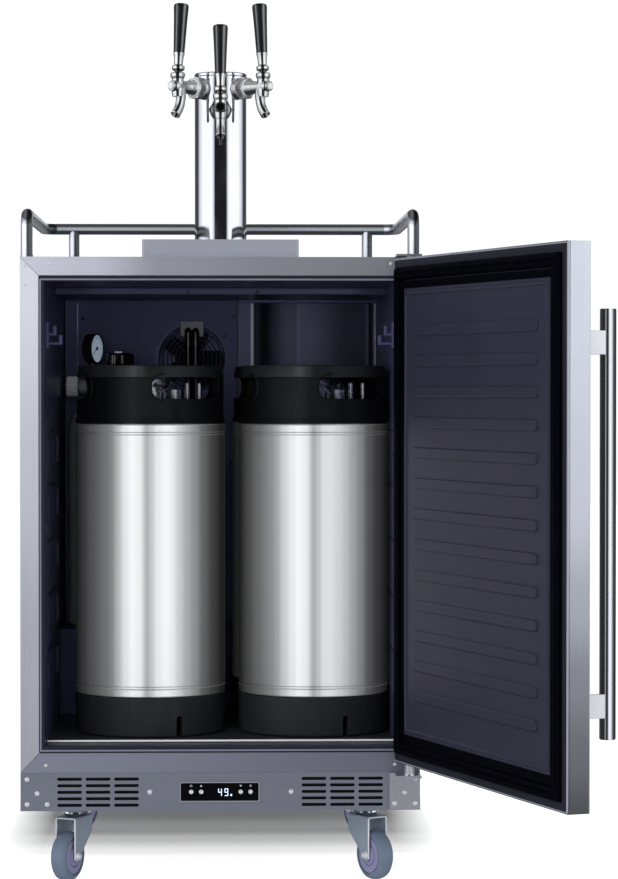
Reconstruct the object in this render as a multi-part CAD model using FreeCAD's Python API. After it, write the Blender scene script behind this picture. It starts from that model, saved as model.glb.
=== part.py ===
import FreeCAD
import Part
import math
import os

from FreeCAD import Vector

# A commercial kegerator: an insulated stainless cabinet on swivel casters, with three kegs, a CO2 bottle
# and regulator inside, and a three-faucet draught tower, drip tray and guard rail on its deck.
# Frame: millimetres, origin on the floor at the centre of the cabinet's footprint, +X right,
# +Y to the back, +Z up. The door is hinged on the right and stands open at DOOR_OPEN degrees.

# Cabinet
WIDTH = 600.0
DEPTH = 640.0
HALF = WIDTH / 2
FRONT = -DEPTH / 2
BASE_Z = 111.0
DECK_Z = 942.0
SKIN = 1.2
FRAME_T = 2.0
FRAME_W = 28.0
KICK_TOP = 168.0

# Insulated cavity
CAVITY_HALF = 264.0
CAVITY_BACK = FRONT + 602.0
CEILING_Z = 906.0
FLOOR_Z = 209.6
LINER_T = 2.0
PLATE_T = 2.0
FLOOR_PLATE_SETBACK = 50.0
FLOOR_FOAM_Z = 170.0
BULKHEAD_FRONT = FRONT + 290.0
BULKHEAD_Z = 894.0
RECESS_LEFT = 55.0
RECESS_RIGHT = 254.0
RECESS_RIM = FRONT + 580.0
CLEAT_ROWS = (292.0, 376.0, 460.0, 544.0, 628.0)
CLEAT_COLUMNS = (FRONT + 40.0, FRONT + 300.0)
CLEAT_W = 12.0
CLEAT_H = 41.0
CLEAT_REACH = {-1: 5.0, 1: 1.2}

# Step in the cavity over the compressor, with the CO2 bottle on it
STEP_RIGHT = -100.0
STEP_FRONT = FRONT + 436.0
STEP_TOP = 350.0
STEP_WALL = 14.0

# Door, described closed and then swung open about its hinge pins
DOOR_OPEN = 109.0
DOOR_LOW = 185.5
DOOR_HIGH = 939.0
DOOR_BACK = FRONT - 10.0
DOOR_FACE = FRONT - 43.0
HANDLE_X = -HALF + 35.0
HANDLE_OUT = 41.5
HANDLE_R = 11.0
HANDLE_LOW = 278.0
HANDLE_L = 573.0
STANDOFFS = (323.0, 806.0)
HINGE_X = 282.0
HINGE_Y = FRONT - 26.0
PIN_R = 4.0
RUNNING_GAP = 0.05
RIB_COUNT = 13
RIB_PITCH = 44.8
RIB_H = 16.0
RIB_TOP = 838.0

# Draught tower and its faucets
TOWER_Y = FRONT + 300.0
TOWER_R = 42.0
TOWER_TOP = 1240.0
FAUCETS = {"left": (-45.0, 1220.0), "middle": (0.0, 1184.0), "right": (45.0, 1220.0)}
SHANK_R = 11.0
PIVOT_OUT = 95.0
PIVOT_UP = 12.0
BALL_R = 8.0
LEVER_LEAN = 4.0
SPOUT_DROP = 46.0

# Guard rail round the deck
RAIL_X = 291.0
RAIL_FRONT = FRONT + 25.0
RAIL_BACK = FRONT + 470.0
RAIL_Z = 1007.5
RAIL_R = 9.0
RAIL_POST_X = 242.0

# Drip tray
TRAY_W = 240.0
TRAY_D = 130.0
TRAY_H = 31.0
TRAY_FRONT = FRONT + 100.0

# Kick panel: vent slots and temperature controller
VENT_COLUMNS = (-244.9, -202.3, -159.7, 121.8, 164.5, 207.1)
VENT_ROWS = 5
VENT_PITCH = 9.8
VENT_L = 37.0
VENT_H = 4.7
PANEL_Z = 139.1
CONTROL_X = -1.5
CONTROL_W = 120.0
CONTROL_H = 30.0
BUTTONS = {"light": -44.2, "up": -29.2, "down": 30.2, "mode": 45.0}
BUTTON_R = 3.5

# Kegs
KEG_R = 117.5
KEG_H = 571.0
COLLAR_H = 90.0
COLLAR_R = 114.5
BOOT_H = 61.0
KEG_WALL = 1.6
HAND_HOLE_W = 124.0
HAND_HOLE_TURN = 35.5
NOTCH_W = 10.0
NOTCH_TURN = 24.0
KEGS = {"left": (-110.0, FRONT + 206.0), "right": (145.0, FRONT + 206.0), "rear": (136.0, FRONT + 446.0)}

# Cold air unit in the cavity
FAN_X = -49.0
FAN_Z = 795.0
FAN_R = 57.0
COVER_Y = FRONT + 566.0
COVER_RIGHT = 28.0
COVER_TOP = 893.0
GRILLE_T = 3.0
BRACKET_W = 40.0
BRACKET_LOW = 831.5
BRACKET_HIGH = 858.5
HOSES = (-55.0, -42.5)
HOSE_R = 6.0
HOSE_Y = FRONT + 554.0
HOSE_LOW = 400.0
HOSE_TOP = 834.0

# Gas supply
BOTTLE_X = -190.0
BOTTLE_Y = FRONT + 500.0
BOTTLE_R = 65.0
BOTTLE_TOP = 727.0
VALVE_Z = 748.0
HANDWHEEL_R = 17.0
HANDWHEEL_X = -237.0
GAUGE_X = -210.0
GAUGE_Z = 810.0
REGULATOR_X = -166.0
REGULATOR_Y = FRONT + 434.0
KNOB_R = 23.0
KNOB_Z = 781.0

# Machine compartment
COMPRESSOR_X = -182.0
COMPRESSOR_Y = FRONT + 535.0
CONDENSER_X = 110.0

# Swivel casters: position, then the way the wheel trails, in degrees from straight ahead
CASTERS = {
    "front_left": (-220.0, FRONT + 65.0, -24.0),
    "front_right": (220.0, FRONT + 65.0, 30.0),
    "rear_left": (-220.0, FRONT + 575.0, -35.0),
    "rear_right": (220.0, FRONT + 575.0, 20.0),
}
WHEEL_R = 37.5
WHEEL_W = 25.0
TRAIL = 28.0
AXLE_R = 4.0
KINGPIN_R = 6.0
CASTER_PLATE_T = 3.0
FORK_TOP = 96.0

X_AXIS = Vector(1, 0, 0)
Y_AXIS = Vector(0, 1, 0)
Z_AXIS = Vector(0, 0, 1)


def box(x0, x1, y0, y1, z0, z1):
    """A box between two corners."""
    return Part.makeBox(x1 - x0, y1 - y0, z1 - z0, Vector(x0, y0, z0))


def cylinder(radius, length, x, y, z, axis=Z_AXIS):
    """A cylinder that starts at a point and runs along an axis."""
    return Part.makeCylinder(radius, length, Vector(x, y, z), axis)


def ring(outer, inner, length, x, y, z, axis=Z_AXIS):
    """A round tube that starts at a point and runs along an axis."""
    return cylinder(outer, length, x, y, z, axis).cut(cylinder(inner, length, x, y, z, axis))


def rounded_box(x0, x1, y0, y1, z0, z1, radius, axis):
    """A box with its four edges along one axis rounded."""
    block = box(x0, x1, y0, y1, z0, z1)
    edges = [e for e in block.Edges if e.tangentAt(e.FirstParameter).cross(axis).Length < 1e-6]
    return block.makeFillet(radius, edges)


def revolved(profile):
    """A solid turned about +Z from (radius, height) points."""
    points = [Vector(r, 0, z) for r, z in profile]
    face = Part.Face(Part.makePolygon(points + points[:1]))
    return face.revolve(Vector(0, 0, 0), Z_AXIS, 360)


def joined(shapes):
    """Touching shapes of one piece, fused and with their seams removed."""
    return shapes[0].fuse(shapes[1:]).removeSplitter()


def group(shapes):
    """Separate solids of one sub-part."""
    return Part.makeCompound(shapes)


def moved(shape, x=0.0, y=0.0, z=0.0):
    """A copy of a shape, shifted."""
    copy = shape.copy()
    copy.translate(Vector(x, y, z))
    return copy


def turned(shape, x, y, angle):
    """A copy of a shape, turned about a vertical line."""
    copy = shape.copy()
    copy.rotate(Vector(x, y, 0), Z_AXIS, angle)
    return copy


def bent_wire(points, bend):
    """A wire through points, with an arc of one radius at each corner."""
    edges = []
    start = points[0]
    for before, corner, after in zip(points, points[1:], points[2:]):
        inward = (before - corner).normalize()
        outward = (after - corner).normalize()
        half_angle = inward.getAngle(outward) / 2
        setback = bend / math.tan(half_angle)
        centre_way = (inward + outward).normalize()
        centre = corner + centre_way * (bend / math.sin(half_angle))
        arc_start = corner + inward * setback
        arc_end = corner + outward * setback
        edges.append(Part.makeLine(start, arc_start))
        edges.append(Part.Arc(arc_start, centre - centre_way * bend, arc_end).toShape())
        start = arc_end
    edges.append(Part.makeLine(start, points[-1]))
    return Part.Wire(edges)


def rod(points, bend, radius):
    """A round bar bent along points."""
    path = bent_wire(points, bend)
    circle = Part.makeCircle(radius, points[0], points[1] - points[0])
    return path.makePipeShell([Part.Wire(circle)], True, False)


# Cabinet


def cabinet_wrap():
    """Both sides and the deck, folded from one sheet."""
    y0 = FRONT + FRAME_T
    y1 = -FRONT - SKIN
    outer = box(-HALF, HALF, y0, y1, BASE_Z, DECK_Z)
    inner = box(-HALF + SKIN, HALF - SKIN, y0, y1, BASE_Z, DECK_Z - SKIN)
    return outer.cut(inner)


def back_panel():
    """Rear sheet with a grille of slots behind the compressor."""
    panel = box(-HALF, HALF, -FRONT - SKIN, -FRONT, BASE_Z, DECK_Z)
    for row in range(6):
        z = BASE_Z + 40 + row * 18
        slot = rounded_box(-250, -120, -FRONT - 2 * SKIN, -FRONT + SKIN, z, z + 6, 2.9, Y_AXIS)
        panel = panel.cut(slot)
    return panel


def base_pan():
    """Floor sheet of the machine compartment."""
    return box(-HALF + SKIN, HALF - SKIN, FRONT + FRAME_T, -FRONT - SKIN, BASE_Z, BASE_Z + 2)


def frame_bar(corners):
    """A flat bar of the front frame from its (x, z) corners."""
    points = [Vector(x, FRONT, z) for x, z in corners]
    return Part.Face(Part.makePolygon(points + points[:1])).extrude(Vector(0, FRAME_T, 0))


def front_frame():
    """Two stiles and two rails, mitred at the corners."""
    inner_x = HALF - FRAME_W
    inner_low = KICK_TOP + FRAME_W + 2
    inner_high = DECK_Z - FRAME_W
    bars = [
        frame_bar([(side * HALF, KICK_TOP), (side * inner_x, inner_low),
                   (side * inner_x, inner_high), (side * HALF, DECK_Z)])
        for side in (-1, 1)
    ]
    for outer_z, inner_z in ((KICK_TOP, inner_low), (DECK_Z, inner_high)):
        bars.append(frame_bar([(-HALF, outer_z), (HALF, outer_z), (inner_x, inner_z), (-inner_x, inner_z)]))
    return group(bars)


def foam_slabs():
    """Insulation between the outer sheets and the liner, one slab a wall."""
    y0 = FRONT + FRAME_T
    y1 = -FRONT - SKIN
    wall = CAVITY_HALF + LINER_T
    top = CEILING_Z + LINER_T
    low = FLOOR_Z - PLATE_T - LINER_T
    back = CAVITY_BACK + LINER_T
    step_x = STEP_RIGHT - LINER_T
    step_y = STEP_FRONT + LINER_T
    step_z = STEP_TOP - LINER_T
    under_z = STEP_TOP - STEP_WALL
    slabs = [
        box(-HALF + SKIN, -wall, y0, y1, BASE_Z + 2, DECK_Z - SKIN),
        box(wall, HALF - SKIN, y0, y1, BASE_Z + 2, DECK_Z - SKIN),
        box(-wall, wall, y0, y1, top, DECK_Z - SKIN),
        box(-wall, wall, back, y1, step_z, top),
        box(step_x, wall, back, y1, FLOOR_FOAM_Z, step_z),
        box(-wall, wall, y0, step_y, FLOOR_FOAM_Z, low),
        box(step_x, wall, step_y, back, FLOOR_FOAM_Z, low),
        box(-wall, step_x, step_y, back, under_z, step_z),
        box(-wall, step_x, step_y, STEP_FRONT + STEP_WALL, low, under_z),
        box(STEP_RIGHT - STEP_WALL, step_x, STEP_FRONT + STEP_WALL, back, low, under_z),
    ]
    return group(slabs)


def inner_liner():
    """Thin moulded liner of the cavity: its step, ceiling bulkhead, rear recess and shelf cleats."""
    y0 = FRONT + FRAME_T
    low = FLOOR_Z - PLATE_T
    wall = CAVITY_HALF + LINER_T
    outer = box(-wall, wall, y0, CAVITY_BACK + LINER_T, low - LINER_T, CEILING_Z + LINER_T)
    air = box(-CAVITY_HALF, CAVITY_HALF, y0, CAVITY_BACK, low, CEILING_Z)
    under_step = box(-wall, STEP_RIGHT - LINER_T, STEP_FRONT + LINER_T, CAVITY_BACK + LINER_T,
                     low - LINER_T, STEP_TOP - LINER_T)
    mouldings = [
        box(-CAVITY_HALF, STEP_RIGHT, STEP_FRONT, CAVITY_BACK, low, STEP_TOP),
        box(-CAVITY_HALF, CAVITY_HALF, BULKHEAD_FRONT, CAVITY_BACK, BULKHEAD_Z, CEILING_Z),
        box(COVER_RIGHT + 1, RECESS_LEFT, COVER_Y, CAVITY_BACK, low, BULKHEAD_Z),
        box(RECESS_RIGHT, CAVITY_HALF, RECESS_RIM, CAVITY_BACK, low, BULKHEAD_Z),
    ]
    shell = outer.cut(air.cut(mouldings)).cut(under_step)
    cleats = []
    for side, reach in CLEAT_REACH.items():
        x0, x1 = sorted((side * (CAVITY_HALF - reach), side * (CAVITY_HALF + LINER_T / 2)))
        for y in CLEAT_COLUMNS:
            cleats += [box(x0, x1, y, y + CLEAT_W, z, z + CLEAT_H) for z in CLEAT_ROWS]
    return joined([shell] + cleats)


def floor_plate():
    """Loose metal plate the kegs stand on, cut out round the step and short of the rear mouldings."""
    plate = box(-CAVITY_HALF + 1, CAVITY_HALF - 1, FRONT + FLOOR_PLATE_SETBACK, COVER_Y - 1,
                FLOOR_Z - PLATE_T, FLOOR_Z)
    return plate.cut(box(-CAVITY_HALF, STEP_RIGHT + 1, STEP_FRONT - 1, CAVITY_BACK, FLOOR_Z - 9, FLOOR_Z + 9))


def kick_panel():
    """Lower front sheet with its vent slots and the controller's window."""
    panel = box(-HALF, HALF, FRONT, FRONT + FRAME_T, BASE_Z, KICK_TOP)
    window = box(CONTROL_X - CONTROL_W / 2 + 3, CONTROL_X + CONTROL_W / 2 - 3, FRONT - 1, FRONT + 9,
                 PANEL_Z - CONTROL_H / 2 + 3, PANEL_Z + CONTROL_H / 2 - 3)
    slots = [window]
    for x in VENT_COLUMNS:
        for row in range(VENT_ROWS):
            z = PANEL_Z + (row - (VENT_ROWS - 1) / 2) * VENT_PITCH
            slots.append(
                rounded_box(x, x + VENT_L, FRONT - 1, FRONT + 9, z - VENT_H / 2, z + VENT_H / 2,
                            VENT_H / 2 - 0.05, Y_AXIS)
            )
    return panel.cut(slots)


def controller_bezel():
    """Thin bright frame round the controller's window."""
    half_w = CONTROL_W / 2
    half_h = CONTROL_H / 2
    outer = rounded_box(CONTROL_X - half_w, CONTROL_X + half_w, FRONT - 1.5, FRONT,
                        PANEL_Z - half_h, PANEL_Z + half_h, 3, Y_AXIS)
    inner = rounded_box(CONTROL_X - half_w + 1.5, CONTROL_X + half_w - 1.5, FRONT - 2, FRONT + 1,
                        PANEL_Z - half_h + 1.5, PANEL_Z + half_h - 1.5, 2, Y_AXIS)
    return outer.cut(inner)


def controller_screen():
    """Dark window with its electronics box behind, bored for the buttons."""
    half_w = CONTROL_W / 2
    half_h = CONTROL_H / 2
    window = rounded_box(CONTROL_X - half_w + 1.5, CONTROL_X + half_w - 1.5, FRONT - 1.2, FRONT,
                         PANEL_Z - half_h + 1.5, PANEL_Z + half_h - 1.5, 2, Y_AXIS)
    case = box(CONTROL_X - half_w + 3, CONTROL_X + half_w - 3, FRONT, FRONT + 30,
               PANEL_Z - half_h + 3, PANEL_Z + half_h - 3)
    holes = [
        cylinder(BUTTON_R + RUNNING_GAP, 7.2, x, FRONT - 2.2, PANEL_Z, Y_AXIS)
        for x in BUTTONS.values()
    ]
    return joined([window, case]).cut(holes)


def controller_button(x):
    """A push button with a rounded face, proud of the window by the length of its travel and more."""
    button = cylinder(BUTTON_R, 6, x, FRONT - 2, PANEL_Z, Y_AXIS)
    return button.makeFillet(0.6, [e for e in button.Edges if e.CenterOfMass.y < FRONT - 1.9])


def hinge_brackets():
    """Lower and upper hinge brackets, each with its pin."""
    x0 = HINGE_X - 20
    y0 = HINGE_Y - 14
    lower = joined(
        [
            box(HINGE_X - 28, HALF, FRONT - 3, FRONT, BASE_Z + 1, KICK_TOP - 1),
            box(x0, HALF, y0, FRONT, KICK_TOP - 5, KICK_TOP - 1),
            cylinder(PIN_R, 30, HINGE_X, HINGE_Y, KICK_TOP - 1),
            ring(8, PIN_R - 0.5, DOOR_LOW - KICK_TOP + 0.5, HINGE_X, HINGE_Y, KICK_TOP - 1),
        ]
    )
    upper = joined(
        [
            box(x0, HALF, y0, FRONT + 16, DECK_Z, DECK_Z + 3),
            cylinder(PIN_R, 15, HINGE_X, HINGE_Y, DECK_Z - 15),
        ]
    )
    return group([lower, upper])


def guard_rail():
    """Tube rail round three sides of the deck, with two posts under its back run and a foot on every post."""
    corners = [
        Vector(-RAIL_X, RAIL_FRONT, DECK_Z),
        Vector(-RAIL_X, RAIL_FRONT, RAIL_Z),
        Vector(-RAIL_X, RAIL_BACK, RAIL_Z),
        Vector(RAIL_X, RAIL_BACK, RAIL_Z),
        Vector(RAIL_X, RAIL_FRONT, RAIL_Z),
        Vector(RAIL_X, RAIL_FRONT, DECK_Z),
    ]
    tube = rod(corners, 22, RAIL_R).cut(rod(corners, 22, RAIL_R - 1.5))
    bar = rod(corners, 22, RAIL_R - 0.5)
    posts = [
        cylinder(RAIL_R, RAIL_Z - DECK_Z, x, RAIL_BACK, DECK_Z).cut(bar)
        for x in (-RAIL_POST_X, RAIL_POST_X)
    ]
    posts = [max(post.Solids, key=lambda solid: solid.Volume) for post in posts]
    feet = [ring(16, RAIL_R - 0.5, 3, x, RAIL_BACK, DECK_Z) for x in (-RAIL_POST_X, RAIL_POST_X)]
    return joined([tube] + posts + feet)


# Draught tower


def tower_column():
    """Upright tube with its base flange, bored for the faucet shanks."""
    column = joined(
        [
            ring(TOWER_R, TOWER_R - 2, TOWER_TOP - DECK_Z, 0, TOWER_Y, DECK_Z),
            ring(TOWER_R + 15, TOWER_R - 2, 5, 0, TOWER_Y, DECK_Z),
        ]
    )
    bores = [
        turned(cylinder(SHANK_R, TOWER_R + 9, 0, TOWER_Y, z, -Y_AXIS), 0, TOWER_Y, angle)
        for angle, z in FAUCETS.values()
    ]
    return column.cut(bores)


def tower_cap():
    """Cap pressed on the tower, with a rolled edge and a plug that ends above the side faucets' shanks."""
    skirt = cylinder(TOWER_R, 8, 0, TOWER_Y, TOWER_TOP)
    top = skirt.makeFillet(2.5, [e for e in skirt.Edges if e.CenterOfMass.z > TOWER_TOP + 7])
    plug = ring(TOWER_R - 2, TOWER_R - 5, 8, 0, TOWER_Y, TOWER_TOP - 8)
    return joined([top, plug])


def faucet_spout(z):
    """Curved spout of a faucet that faces -Y."""
    points = [
        Vector(0, -PIVOT_OUT + 2, z + 2),
        Vector(0, -PIVOT_OUT + 3, z - 18),
        Vector(0, -PIVOT_OUT - 4, z - 36),
        Vector(0, -PIVOT_OUT - 12, z - SPOUT_DROP),
    ]
    path = Part.BSplineCurve()
    path.interpolate(points)
    circle = Part.makeCircle(6.5, points[0], points[1] - points[0])
    spout = Part.Wire(path.toShape()).makePipeShell([Part.Wire(circle)], True, False)
    bore = cylinder(4.5, 9, 0, points[-1].y, points[-1].z, points[-2] - points[-1])
    return spout.cut(bore)


def faucet_body(angle, z):
    """Shank, coupling nut, body, bonnet and spout of one faucet, bored for its lever's ball and trunnions."""
    out = -PIVOT_OUT
    nut = Part.Face(Part.makePolygon([
        Vector(16 * math.cos(math.radians(60 * k)), -50, z + 16 * math.sin(math.radians(60 * k)))
        for k in range(7)
    ])).extrude(Vector(0, -11, 0))
    solid = joined(
        [
            cylinder(SHANK_R, 16, 0, -TOWER_R + 6, z, -Y_AXIS),
            cylinder(16, 12, 0, -TOWER_R + 4, z, -Y_AXIS).cut(cylinder(TOWER_R, 60, 0, 0, z - 30)),
            nut,
            cylinder(10.5, PIVOT_OUT - 50, 0, -50, z, -Y_AXIS),
            cylinder(12, PIVOT_UP + 14, 0, out, z - 10),
            cylinder(7, 13, 0, out, z, -Y_AXIS),
            ring(13.5, 11, 4, 0, out, z + PIVOT_UP - 5),
            faucet_spout(z),
        ]
    )
    pivot_z = z + PIVOT_UP
    socket = Part.makeSphere(BALL_R + RUNNING_GAP, Vector(0, out, pivot_z))
    mouth = cylinder(BALL_R - 0.9, 20, 0, out, pivot_z)
    trunnions = cylinder(3 + RUNNING_GAP, 22, -11, out, pivot_z, X_AXIS)
    solid = solid.cut([socket, mouth, trunnions])
    return turned(moved(solid, y=TOWER_Y), 0, TOWER_Y, angle)


def leaned(shape, z):
    """A lever part leaned back over its pivot toward the tower."""
    copy = shape.copy()
    copy.rotate(Vector(0, -PIVOT_OUT, z + PIVOT_UP), X_AXIS, -LEVER_LEAN)
    return copy


def faucet_lever(angle, z):
    """Lever with its pivot ball, trunnions and collar."""
    out = -PIVOT_OUT
    pivot_z = z + PIVOT_UP
    upright = joined(
        [
            Part.makeSphere(BALL_R, Vector(0, out, pivot_z)),
            cylinder(3.5, 30, 0, out, pivot_z),
            cylinder(9, 4, 0, out, pivot_z + 13),
            cylinder(7, 7, 0, out, pivot_z + 15),
            cylinder(8.5, 3, 0, out, pivot_z + 21),
        ]
    )
    lever = joined([leaned(upright, z), cylinder(3, 21, -10.5, out, pivot_z, X_AXIS)])
    return turned(moved(lever, y=TOWER_Y), 0, TOWER_Y, angle)


def faucet_handle(angle, z):
    """Tapered grip and its ferrule, bored for the lever's threaded end."""
    grip = revolved([(0, 30), (3.5, 30), (3.5, 24), (8, 24), (8, 28), (7, 32), (8.5, 43),
                     (9, 48), (12, 118), (10.5, 122), (0, 123)])
    upright = moved(grip, 0, -PIVOT_OUT, z + PIVOT_UP)
    return turned(moved(leaned(upright, z), y=TOWER_Y), 0, TOWER_Y, angle)


def drip_tray():
    """Open pan with a ledge inside its rim for the grille."""
    x = TRAY_W / 2
    y0 = TRAY_FRONT
    y1 = TRAY_FRONT + TRAY_D
    z0 = DECK_Z
    z1 = DECK_Z + TRAY_H
    pan = rounded_box(-x, x, y0, y1, z0, z1, 4, Z_AXIS)
    pan = pan.cut(rounded_box(-x + 6, x - 6, y0 + 6, y1 - 6, z0 + 2, z1, 2, Z_AXIS))
    pan = pan.cut(rounded_box(-x + 2, x - 2, y0 + 2, y1 - 2, z1 - 4, z1, 2, Z_AXIS))
    return pan


def drip_grille():
    """Slotted plate that lifts out of the drip tray."""
    gap = 0.3
    x = TRAY_W / 2 - 2 - gap
    y0 = TRAY_FRONT + 2 + gap
    y1 = TRAY_FRONT + TRAY_D - 2 - gap
    z0 = DECK_Z + TRAY_H - 4
    plate = rounded_box(-x, x, y0, y1, z0, z0 + 3, 1.8, Z_AXIS)
    slots = []
    for column in range(21):
        cx = (column - 10) * 10.5
        for low, high in ((y0 + 10, y0 + 57), (y1 - 57, y1 - 10)):
            slots.append(rounded_box(cx - 2.5, cx + 2.5, low, high, z0 - 1, z0 + 4, 2.4, Z_AXIS))
    return plate.cut(slots)


# Door, closed


def door_pan():
    """Steel pan of the door, bored for the hinge pins."""
    outer = rounded_box(-HALF, HALF, DOOR_FACE, DOOR_BACK, DOOR_LOW, DOOR_HIGH, 3, Z_AXIS)
    inner = box(-HALF + SKIN, HALF - SKIN, DOOR_FACE + SKIN, DOOR_BACK, DOOR_LOW + SKIN, DOOR_HIGH - SKIN)
    bushes = [
        ring(8, PIN_R + RUNNING_GAP, 28, HINGE_X, HINGE_Y, z)
        for z in (DOOR_LOW, DOOR_HIGH - 28)
    ]
    pan = joined([outer.cut(inner)] + bushes)
    return pan.cut(cylinder(PIN_R + RUNNING_GAP, DOOR_HIGH, HINGE_X, HINGE_Y, 0))


def door_foam():
    """Insulation block inside the door pan."""
    block = box(-HALF + SKIN, HALF - SKIN, DOOR_FACE + SKIN, DOOR_BACK - 3, DOOR_LOW + SKIN, DOOR_HIGH - SKIN)
    pockets = [cylinder(8, 28, HINGE_X, HINGE_Y, z) for z in (DOOR_LOW, DOOR_HIGH - 28)]
    return block.cut(pockets)


def door_liner():
    """Moulded inner face of the door: a raised panel with rounded ribs across it."""
    sheet = box(-HALF + SKIN, HALF - SKIN, DOOR_BACK - 3, DOOR_BACK, DOOR_LOW + SKIN, DOOR_HIGH - SKIN)
    sheet = sheet.cut([cylinder(8, DOOR_HIGH, HINGE_X, HINGE_Y, 0)])
    panel = rounded_box(-256, 256, DOOR_BACK - 1, DOOR_BACK + 4, 232, 892, 8, Y_AXIS)
    ribs = [
        rounded_box(-236, 236, DOOR_BACK + 3, DOOR_BACK + 8, RIB_TOP - n * RIB_PITCH - RIB_H,
                    RIB_TOP - n * RIB_PITCH, RIB_H / 2 - 0.1, Y_AXIS)
        for n in range(RIB_COUNT)
    ]
    return joined([sheet, panel] + ribs)


def door_gasket():
    """Magnetic gasket with a groove round its face."""
    seat = DOOR_BACK
    face = FRONT - 0.6
    outer = rounded_box(-286, 286, seat, face, 199.5, 925, 6, Y_AXIS)
    inner = rounded_box(-266, 266, seat - 1, face + 1, 219.5, 905, 3, Y_AXIS)
    groove = rounded_box(-279, 279, face - 2.5, face + 1, 206.5, 918, 4, Y_AXIS)
    groove = groove.cut(rounded_box(-275, 275, face - 3, face + 2, 210.5, 914, 4, Y_AXIS))
    return outer.cut([inner, groove])


def door_handle():
    """Tube handle with flat ends on two standoffs near the door's free edge."""
    y = DOOR_FACE - HANDLE_OUT
    bar = cylinder(HANDLE_R, HANDLE_L, HANDLE_X, y, HANDLE_LOW)
    bar = bar.makeChamfer(1, [e for e in bar.Edges if len(e.Vertexes) == 1])
    standoffs = [box(HANDLE_X - 8, HANDLE_X + 8, y, DOOR_FACE, z - 16, z + 16) for z in STANDOFFS]
    return joined([bar] + standoffs)


def swung(shape):
    """A door part swung from closed to where it stands."""
    return turned(shape, HINGE_X, HINGE_Y, DOOR_OPEN)


# Kegs


def keg_profile(inset):
    """Half section of the keg's shell, drawn in by a wall thickness."""
    r = KEG_R - inset
    low = BOOT_H + inset
    high = KEG_H - COLLAR_H - inset
    return [
        (0, 22 + inset),
        (70, 26 + inset),
        (96 - inset, 40 + inset),
        (104 - inset, low),
        (r, low),
        (r, high),
        (103 - inset, high),
        (96 - inset, 502 - inset),
        (60, 514 - inset),
        (0, 515 - inset),
    ]


def keg_barrel():
    """Hollow steel shell with two rolled beads, and the valve neck on top."""
    shell = revolved(keg_profile(0)).cut(revolved(keg_profile(KEG_WALL)))
    beads = [
        revolved([(KEG_R - 1, z - 2), (KEG_R, z - 2), (KEG_R + 0.8, z), (KEG_R, z + 2), (KEG_R - 1, z + 2)])
        for z in (BOOT_H + 15, KEG_H - COLLAR_H - 15)
    ]
    neck = revolved([(0, 514), (27, 514), (27, 541), (32, 541), (32, 549), (22, 549), (22, 543), (0, 543)])
    return joined([shell, neck] + beads)


def keg_rubber():
    """Black collar with three hand holes, and the boot with three drain notches."""
    low = KEG_H - COLLAR_H
    collar = revolved([(103, low), (KEG_R - 0.5, low), (COLLAR_R, low + 6), (COLLAR_R, KEG_H - 5),
                       (COLLAR_R - 4, KEG_H), (104, KEG_H), (103, KEG_H - 3)])
    half_w = HAND_HOLE_W / 2
    hand_hole = rounded_box(-half_w, half_w, -KEG_R - 9, -60, low + 38, low + 74, 15, Y_AXIS)
    boot = revolved([(107, 0), (KEG_R - 3, 0), (KEG_R, 4), (KEG_R, BOOT_H), (104, BOOT_H), (104, 50)])
    notch = rounded_box(-NOTCH_W / 2, NOTCH_W / 2, -KEG_R - 9, -90, -9, 32, 4, Y_AXIS)
    thirds = (0, 120, 240)
    return group([collar.cut([turned(hand_hole, 0, 0, HAND_HOLE_TURN + third) for third in thirds]),
                  boot.cut([turned(notch, 0, 0, NOTCH_TURN + third) for third in thirds])])


def placed_keg(shape, x, y):
    """A keg part stood on the floor plate."""
    return moved(shape, x, y, FLOOR_Z)


# Cold air unit


def evaporator_cover():
    """Flat cover with a round fan opening, a ringed grille and a hose bracket on it, and a motor behind."""
    front = box(-CAVITY_HALF + 2, COVER_RIGHT, COVER_Y, COVER_Y + 2, STEP_TOP + 2, COVER_TOP)
    side = box(COVER_RIGHT - 2, COVER_RIGHT, COVER_Y, CAVITY_BACK, STEP_TOP + 2, COVER_TOP)
    cover = joined([front, side]).cut(cylinder(FAN_R - 2, 9, FAN_X, COVER_Y - 3, FAN_Z, Y_AXIS))
    rings = [
        ring(r, r - 2.4, GRILLE_T, FAN_X, COVER_Y - GRILLE_T, FAN_Z, Y_AXIS)
        for r in (15, 22, 29, 36, 43, 50, FAN_R)
    ]
    hub = cylinder(9, GRILLE_T, FAN_X, COVER_Y - GRILLE_T, FAN_Z, Y_AXIS)
    spokes = []
    for n in range(4):
        spoke = box(FAN_X + 8, FAN_X + FAN_R - 1, COVER_Y - GRILLE_T, COVER_Y, FAN_Z - 1.2, FAN_Z + 1.2)
        spoke.rotate(Vector(FAN_X, COVER_Y, FAN_Z), Y_AXIS, 45 + 90 * n)
        spokes.append(spoke)
    bracket = box(FAN_X - BRACKET_W / 2, FAN_X + BRACKET_W / 2, COVER_Y - GRILLE_T - 2, COVER_Y + 1,
                  BRACKET_LOW, BRACKET_HIGH)
    motor = cylinder(18, 10, FAN_X, CAVITY_BACK - 10, FAN_Z, Y_AXIS)
    shaft = cylinder(2, 12, FAN_X, CAVITY_BACK - 22, FAN_Z, Y_AXIS)
    return group([joined([cover, hub, bracket] + rings + spokes), joined([motor, shaft])])


def fan(blades, radius, hub_r, depth, bore):
    """An axial fan about +Y, its hub's front face at the origin."""
    parts = [cylinder(hub_r, depth, 0, 0, 0, Y_AXIS)]
    for n in range(blades):
        blade = box(hub_r - 1, radius, depth / 2 - 0.6, depth / 2 + 0.6, -radius * 0.28, radius * 0.28)
        blade.rotate(Vector(0, depth / 2, 0), X_AXIS, 16)
        blade.rotate(Vector(0, 0, 0), Y_AXIS, 360 * n / blades)
        parts.append(blade)
    return joined(parts).cut(cylinder(bore, depth - 2, 0, 2, 0, Y_AXIS))


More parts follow.
